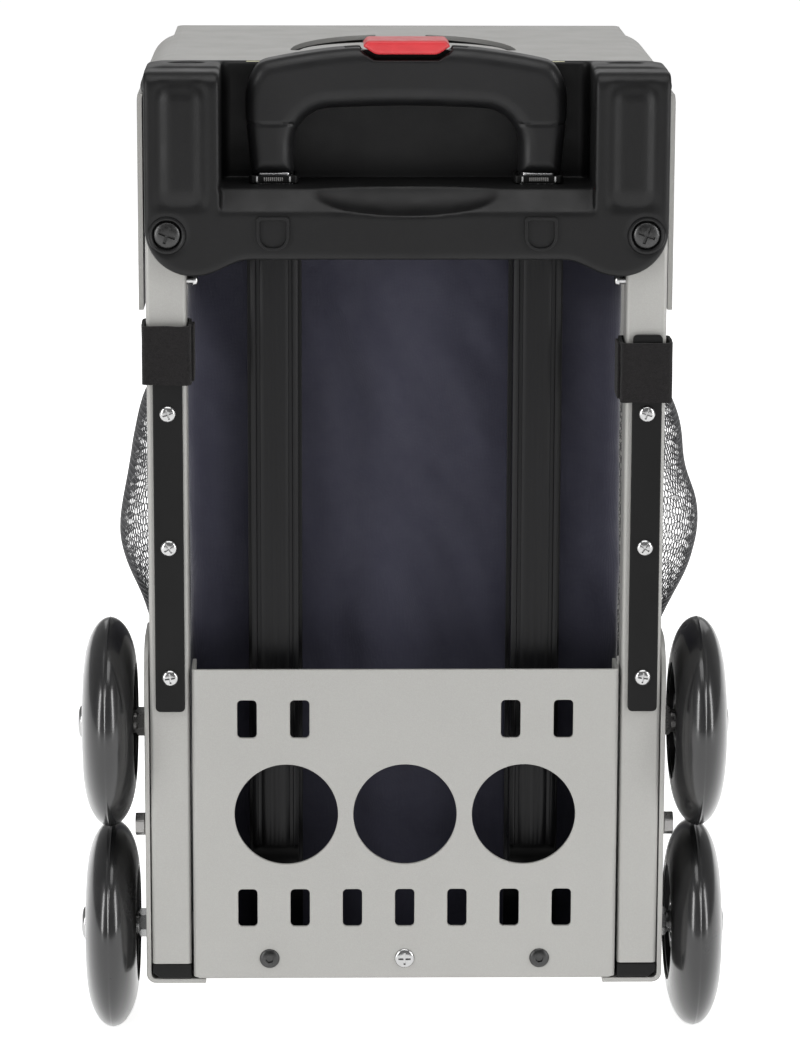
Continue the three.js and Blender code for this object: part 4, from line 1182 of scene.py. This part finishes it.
def front_pocket(s, body):
    """A flat pocket low on the front panel, with a bound edge and a zip across its top."""
    x0, x1, z0, z1 = s.x0 + 24, s.x1 - 24, s.z0 + 32, s.z0 + 196
    y = s.y1 + 1.2
    nx, nz = 60, 64
    points, faces = [], []
    for j in range(nz + 1):
        for i in range(nx + 1):
            a, b = i / nx, j / nz
            x, z = x0 + (x1 - x0) * a, z0 + (z1 - z0) * b
            edge = min(1, 9 * a, 9 * (1 - a)) * min(1, 9 * b, 14 * (1 - b))
            y_out = y + edge ** 0.5 * (3.2 + 1.1 * ripple(x, 0, z * 0.7, 48, 2.7)
                                       + 0.5 * ripple(x - z, 0, z, 20, 6.1))
            points.append((x, y_out - (0 if edge > 0 else 2.2), z))
    row = nx + 1
    for j in range(nz):
        for i in range(nx):
            a = j * row + i
            faces.append((a, a + row, a + row + 1, a + 1))
    cloth = mesh_object("front_pocket_cloth", points, faces)
    thick = cloth.modifiers.new("thick", "SOLIDIFY")
    thick.thickness = 0.9 * MM
    thick.offset = -1
    apply_modifiers(cloth)
    finish_piece(face_outwards(cloth), NAVY, body, sharp=70)
    border = rectangle(x0, x1, z0, z1, 5, 6)
    piping("front_pocket_piping", [(a, y + 0.4, b) for a, b in border], 1.5, TAPE, body)
    tape = prism("front_pocket_zip_tape", rectangle(x0 + 6, x1 - 6, z1 - 19, z1 - 9, 1.5, 3), "y",
                 y + 2.6, y + 5.2)
    finish_piece(roll_edges(tape, 0.4), TAPE, body)
    teeth = [block("tooth", x, x + 0.8, y + 5.1, y + 6.1, z1 - 15.2, z1 - 12.8)
             for x in np.arange(x0 + 8, x1 - 8, 1.5)]
    finish_piece(joined("front_pocket_zip_teeth", teeth), COIL, body)
    pull = prism("front_pocket_zip_pull", rectangle(x0 + 12, x0 + 17, z1 - 34, z1 - 11, 2.2, 5), "y",
                 y + 6.2, y + 7.6)
    finish_piece(roll_edges(pull, 0.4), DARK_ZINC, body)


def net_pocket(side, sign):
    """A knitted net with six-sided holes, stretched over a half egg, with an elastic hem."""
    s = span(f"mesh_pocket_{side}")
    face = min(abs(s.x0), abs(s.x1))
    reach, ry = 0.91 * (max(abs(s.x0), abs(s.x1)) - face), s.d / 2
    rz = 84.0
    top, middle_z, middle_y = s.z1, s.z0 + rz, s.y

    def on_net(u, v):
        """u runs round the pocket from its rear edge to its front edge, v up it, both from 0 to 1."""
        z = middle_z - rz * math.cos(v * math.acos(-(top - middle_z) / rz))
        open_r = math.sqrt(max(0.0, 1 - ((z - middle_z) / rz) ** 2))
        turn = math.pi * u
        slump = 0.06 * math.sin(3.1 * z / 40 + 2 * u) + 0.05 * ripple(u * 60, sign * 20, z, 26, 9.3)
        out = reach * open_r * math.sin(turn) * (1 + slump * math.sin(turn))
        return (sign * (face + 0.4 + max(0.0, out - 0.6)), middle_y - ry * open_r * math.cos(turn), z)

    across, rows = 62, 58
    points, faces, known = [], [], {}

    def corner(i, j):
        """One knot of the net; i counts half cells round it and j counts thirds of a row up it."""
        key = (i, j)
        if key not in known:
            known[key] = len(points)
            points.append(on_net(min(1, max(0, i / (2 * across))), min(1, max(0, j / (3 * rows)))))
        return known[key]

    for row in range(rows):
        for column in range(across):
            i, j = 2 * column + (row % 2), 3 * row
            ring = [corner(i, j + 1), corner(i + 1, j), corner(i + 2, j + 1),
                    corner(i + 2, j + 3), corner(i + 1, j + 4), corner(i, j + 3)]
            if len(set(ring)) == 6 and i + 2 <= 2 * across:
                faces.append(ring)
    net = mesh_object(f"net_pocket_{side}", points, faces)
    work = bmesh.new()
    work.from_mesh(net.data)
    bmesh.ops.remove_doubles(work, verts=work.verts, dist=0.5 * MM)
    work.to_mesh(net.data)
    work.free()
    strands = net.modifiers.new("strands", "WIREFRAME")
    strands.thickness = 0.55 * MM
    strands.use_even_offset = False
    strands.use_boundary = True
    strands.use_replace = True
    apply_modifiers(net)
    finish_piece(net, NET, stands_for=f"mesh_pocket_{side}", sharp=80)

    hem, edge = [], []
    for k in range(61):
        u = k / 60
        x, y, z = on_net(u, 1)
        gather = 0.5 * math.sin(u * 90)
        hem.append([(x + sign * (0.9 + gather), y, z - 5), (x + sign * (1.3 + gather), y, z),
                    (x + sign * (0.9 + gather), y, z + 3.5), (x - sign * (0.7 - gather), y, z + 3.5),
                    (x - sign * (0.7 - gather), y, z - 5)])
    finish_piece(swept(f"net_pocket_hem_{side}", hem), ELASTIC)
    for k in range(64):
        v = k / 63
        edge.append(on_net(0, v))
    for k in range(64):
        edge.append(on_net(1, 1 - k / 63))
    seam = [(sign * (face + 0.6), y, z) for x, y, z in edge]
    rings = tube_along(seam, 1.6, 8)
    finish_piece(swept(f"net_pocket_binding_{side}", rings), TAPE)


def strap(side, sign):
    """Hook-and-loop tape round the post and strip; its free end lies flat on the bag's side."""
    s = span(f"strap_{side}")
    low_rise, top_rise = 1.4, 3.7  # the tape is a little wider than its plain solid, and higher
    s.z0, s.z1 = s.z0 + low_rise, s.z1 + top_rise
    thick = 1.7
    path = rectangle(s.x0 + thick / 2, s.x1 - thick / 2, s.y0 + thick / 2, s.y1 - thick / 2, 2.6, 5)
    count = 90
    lengths = [0.0]
    loop = path + path[:1]
    for a, b in zip(loop, loop[1:]):
        lengths.append(lengths[-1] + math.dist(a, b))
    middle = Vector((s.x, s.y))
    rings = []
    for k in range(count):
        at = k / count * lengths[-1]
        i = max(0, next(n for n, l in enumerate(lengths) if l >= at) - 1)
        share = (at - lengths[i]) / max(1e-6, lengths[i + 1] - lengths[i])
        here = Vector(loop[i]).lerp(Vector(loop[i + 1]), share)
        out = (here - middle).normalized()
        turn = 2 * math.pi * k / count
        around, about = 9 * math.cos(turn), 9 * math.sin(turn)
        wave = 0.2 * ripple(around, about, sign * 9, 5, 4.0)
        low = s.z0 + 0.5 + 0.5 * ripple(around, about, sign * 5, 5, 1.0)
        high = s.z1 - 0.5 + 0.5 * ripple(around, about, sign * 5 + 9, 5, 2.0)
        ring = []
        for height, depth in ((0, -0.5), (0.25, -0.5), (0.5, -0.5), (0.75, -0.5), (1, -0.5), (1, 0.5),
                              (0.75, 0.5), (0.5, 0.5), (0.25, 0.5), (0, 0.5)):
            grow = depth * thick + wave + 0.18 * ripple(around, about, sign * 7 + height * 20, 5, 6.0)
            p = here + out * grow
            ring.append((p.x, p.y, low + (high - low) * height))
        rings.append(ring)
    band = swept(f"strap_{side}_band", rings, closed=True)
    inner = s.x0 if sign > 0 else s.x1
    x0, x1 = sorted((inner - sign * 1.3, inner + sign * 0.2))
    end = prism("strap_end", rectangle(s.y0 + 5, s.y1 - 3, s.z0 + 1.5, s.z1 - 1.5, 2, 4), "x", x0, x1)
    band = joined(f"strap_{side}_band", [band, roll_edges(end, 0.4)])
    finish_piece(band, PILE, stands_for=f"strap_{side}", sharp=45)


# ---------------------------------------------------------------- building
kick_plate()
seat_plate()
refined("base_tray", ALLOY)
for side, sign in SIDES:
    rear_post(side)
    side_hoop(side)
    guard_strip(side, sign)
    front_foot(side)
    refined(f"post_plug_{side}", STRIP_PLASTIC, 0.7)
    refined(f"wheel_bracket_{side}", ALLOY, 0.45)
    refined(f"bracket_bolt_{side}", DARK_ZINC, 0.5)
    rail(side)
    net_pocket(side, sign)
    strap(side, sign)
    for level in LEVELS:
        wheel(level, side, sign)
housing()
grip()
bag_body()
front_panel()


# ---------------------------------------------------------------- studio
def floor():
    size = 40.0
    mesh = bpy.data.meshes.new("studio_floor")
    mesh.from_pydata([(-size, -size, 0), (size, -size, 0), (size, size, 0), (-size, size, 0)], [],
                     [(0, 1, 2, 3)])
    obj = bpy.data.objects.new("studio_floor", mesh)
    bpy.context.scene.collection.objects.link(obj)
    paper = Look("studio_paper", None, (0.9, 0.9, 0.9), 0.9, Specular_IOR_Level=0.1,
                 Emission_Color=(1, 1, 1, 1), Emission_Strength=0.8)
    paper.paint(paper.tone(paper.noise(3, 2), 0.004))
    mesh.materials.append(paper.material)


def area_light(name, at, toward, width, height, watts):
    data = bpy.data.lights.new(name, "AREA")
    data.shape = "RECTANGLE"
    data.size, data.size_y = width, height
    data.energy = watts
    lamp = bpy.data.objects.new(name, data)
    lamp.location = at
    lamp.rotation_euler = (Vector(toward) - Vector(at)).to_track_quat("-Z", "Y").to_euler()
    bpy.context.scene.collection.objects.link(lamp)


def studio():
    floor()
    middle = (0, 0, 0.28)
    area_light("top_softbox", (0, -0.5, 2.4), (0, 0, 0), 2.0, 1.5, 27)
    area_light("left_softbox", (-2.1, -1.5, 1.0), middle, 0.5, 1.8, 32)
    area_light("right_softbox", (2.1, -1.3, 1.0), middle, 0.5, 1.8, 28)
    area_light("back_softbox", (0.3, 2.4, 1.5), middle, 2.4, 1.4, 8)
    world = bpy.data.worlds.new("studio")
    world.use_nodes = True
    background = world.node_tree.nodes["Background"]
    background.inputs["Color"].default_value = (1, 1, 1, 1)
    background.inputs["Strength"].default_value = 0.26
    bpy.context.scene.world = world
    bpy.context.scene.view_settings.view_transform = "Standard"


studio()
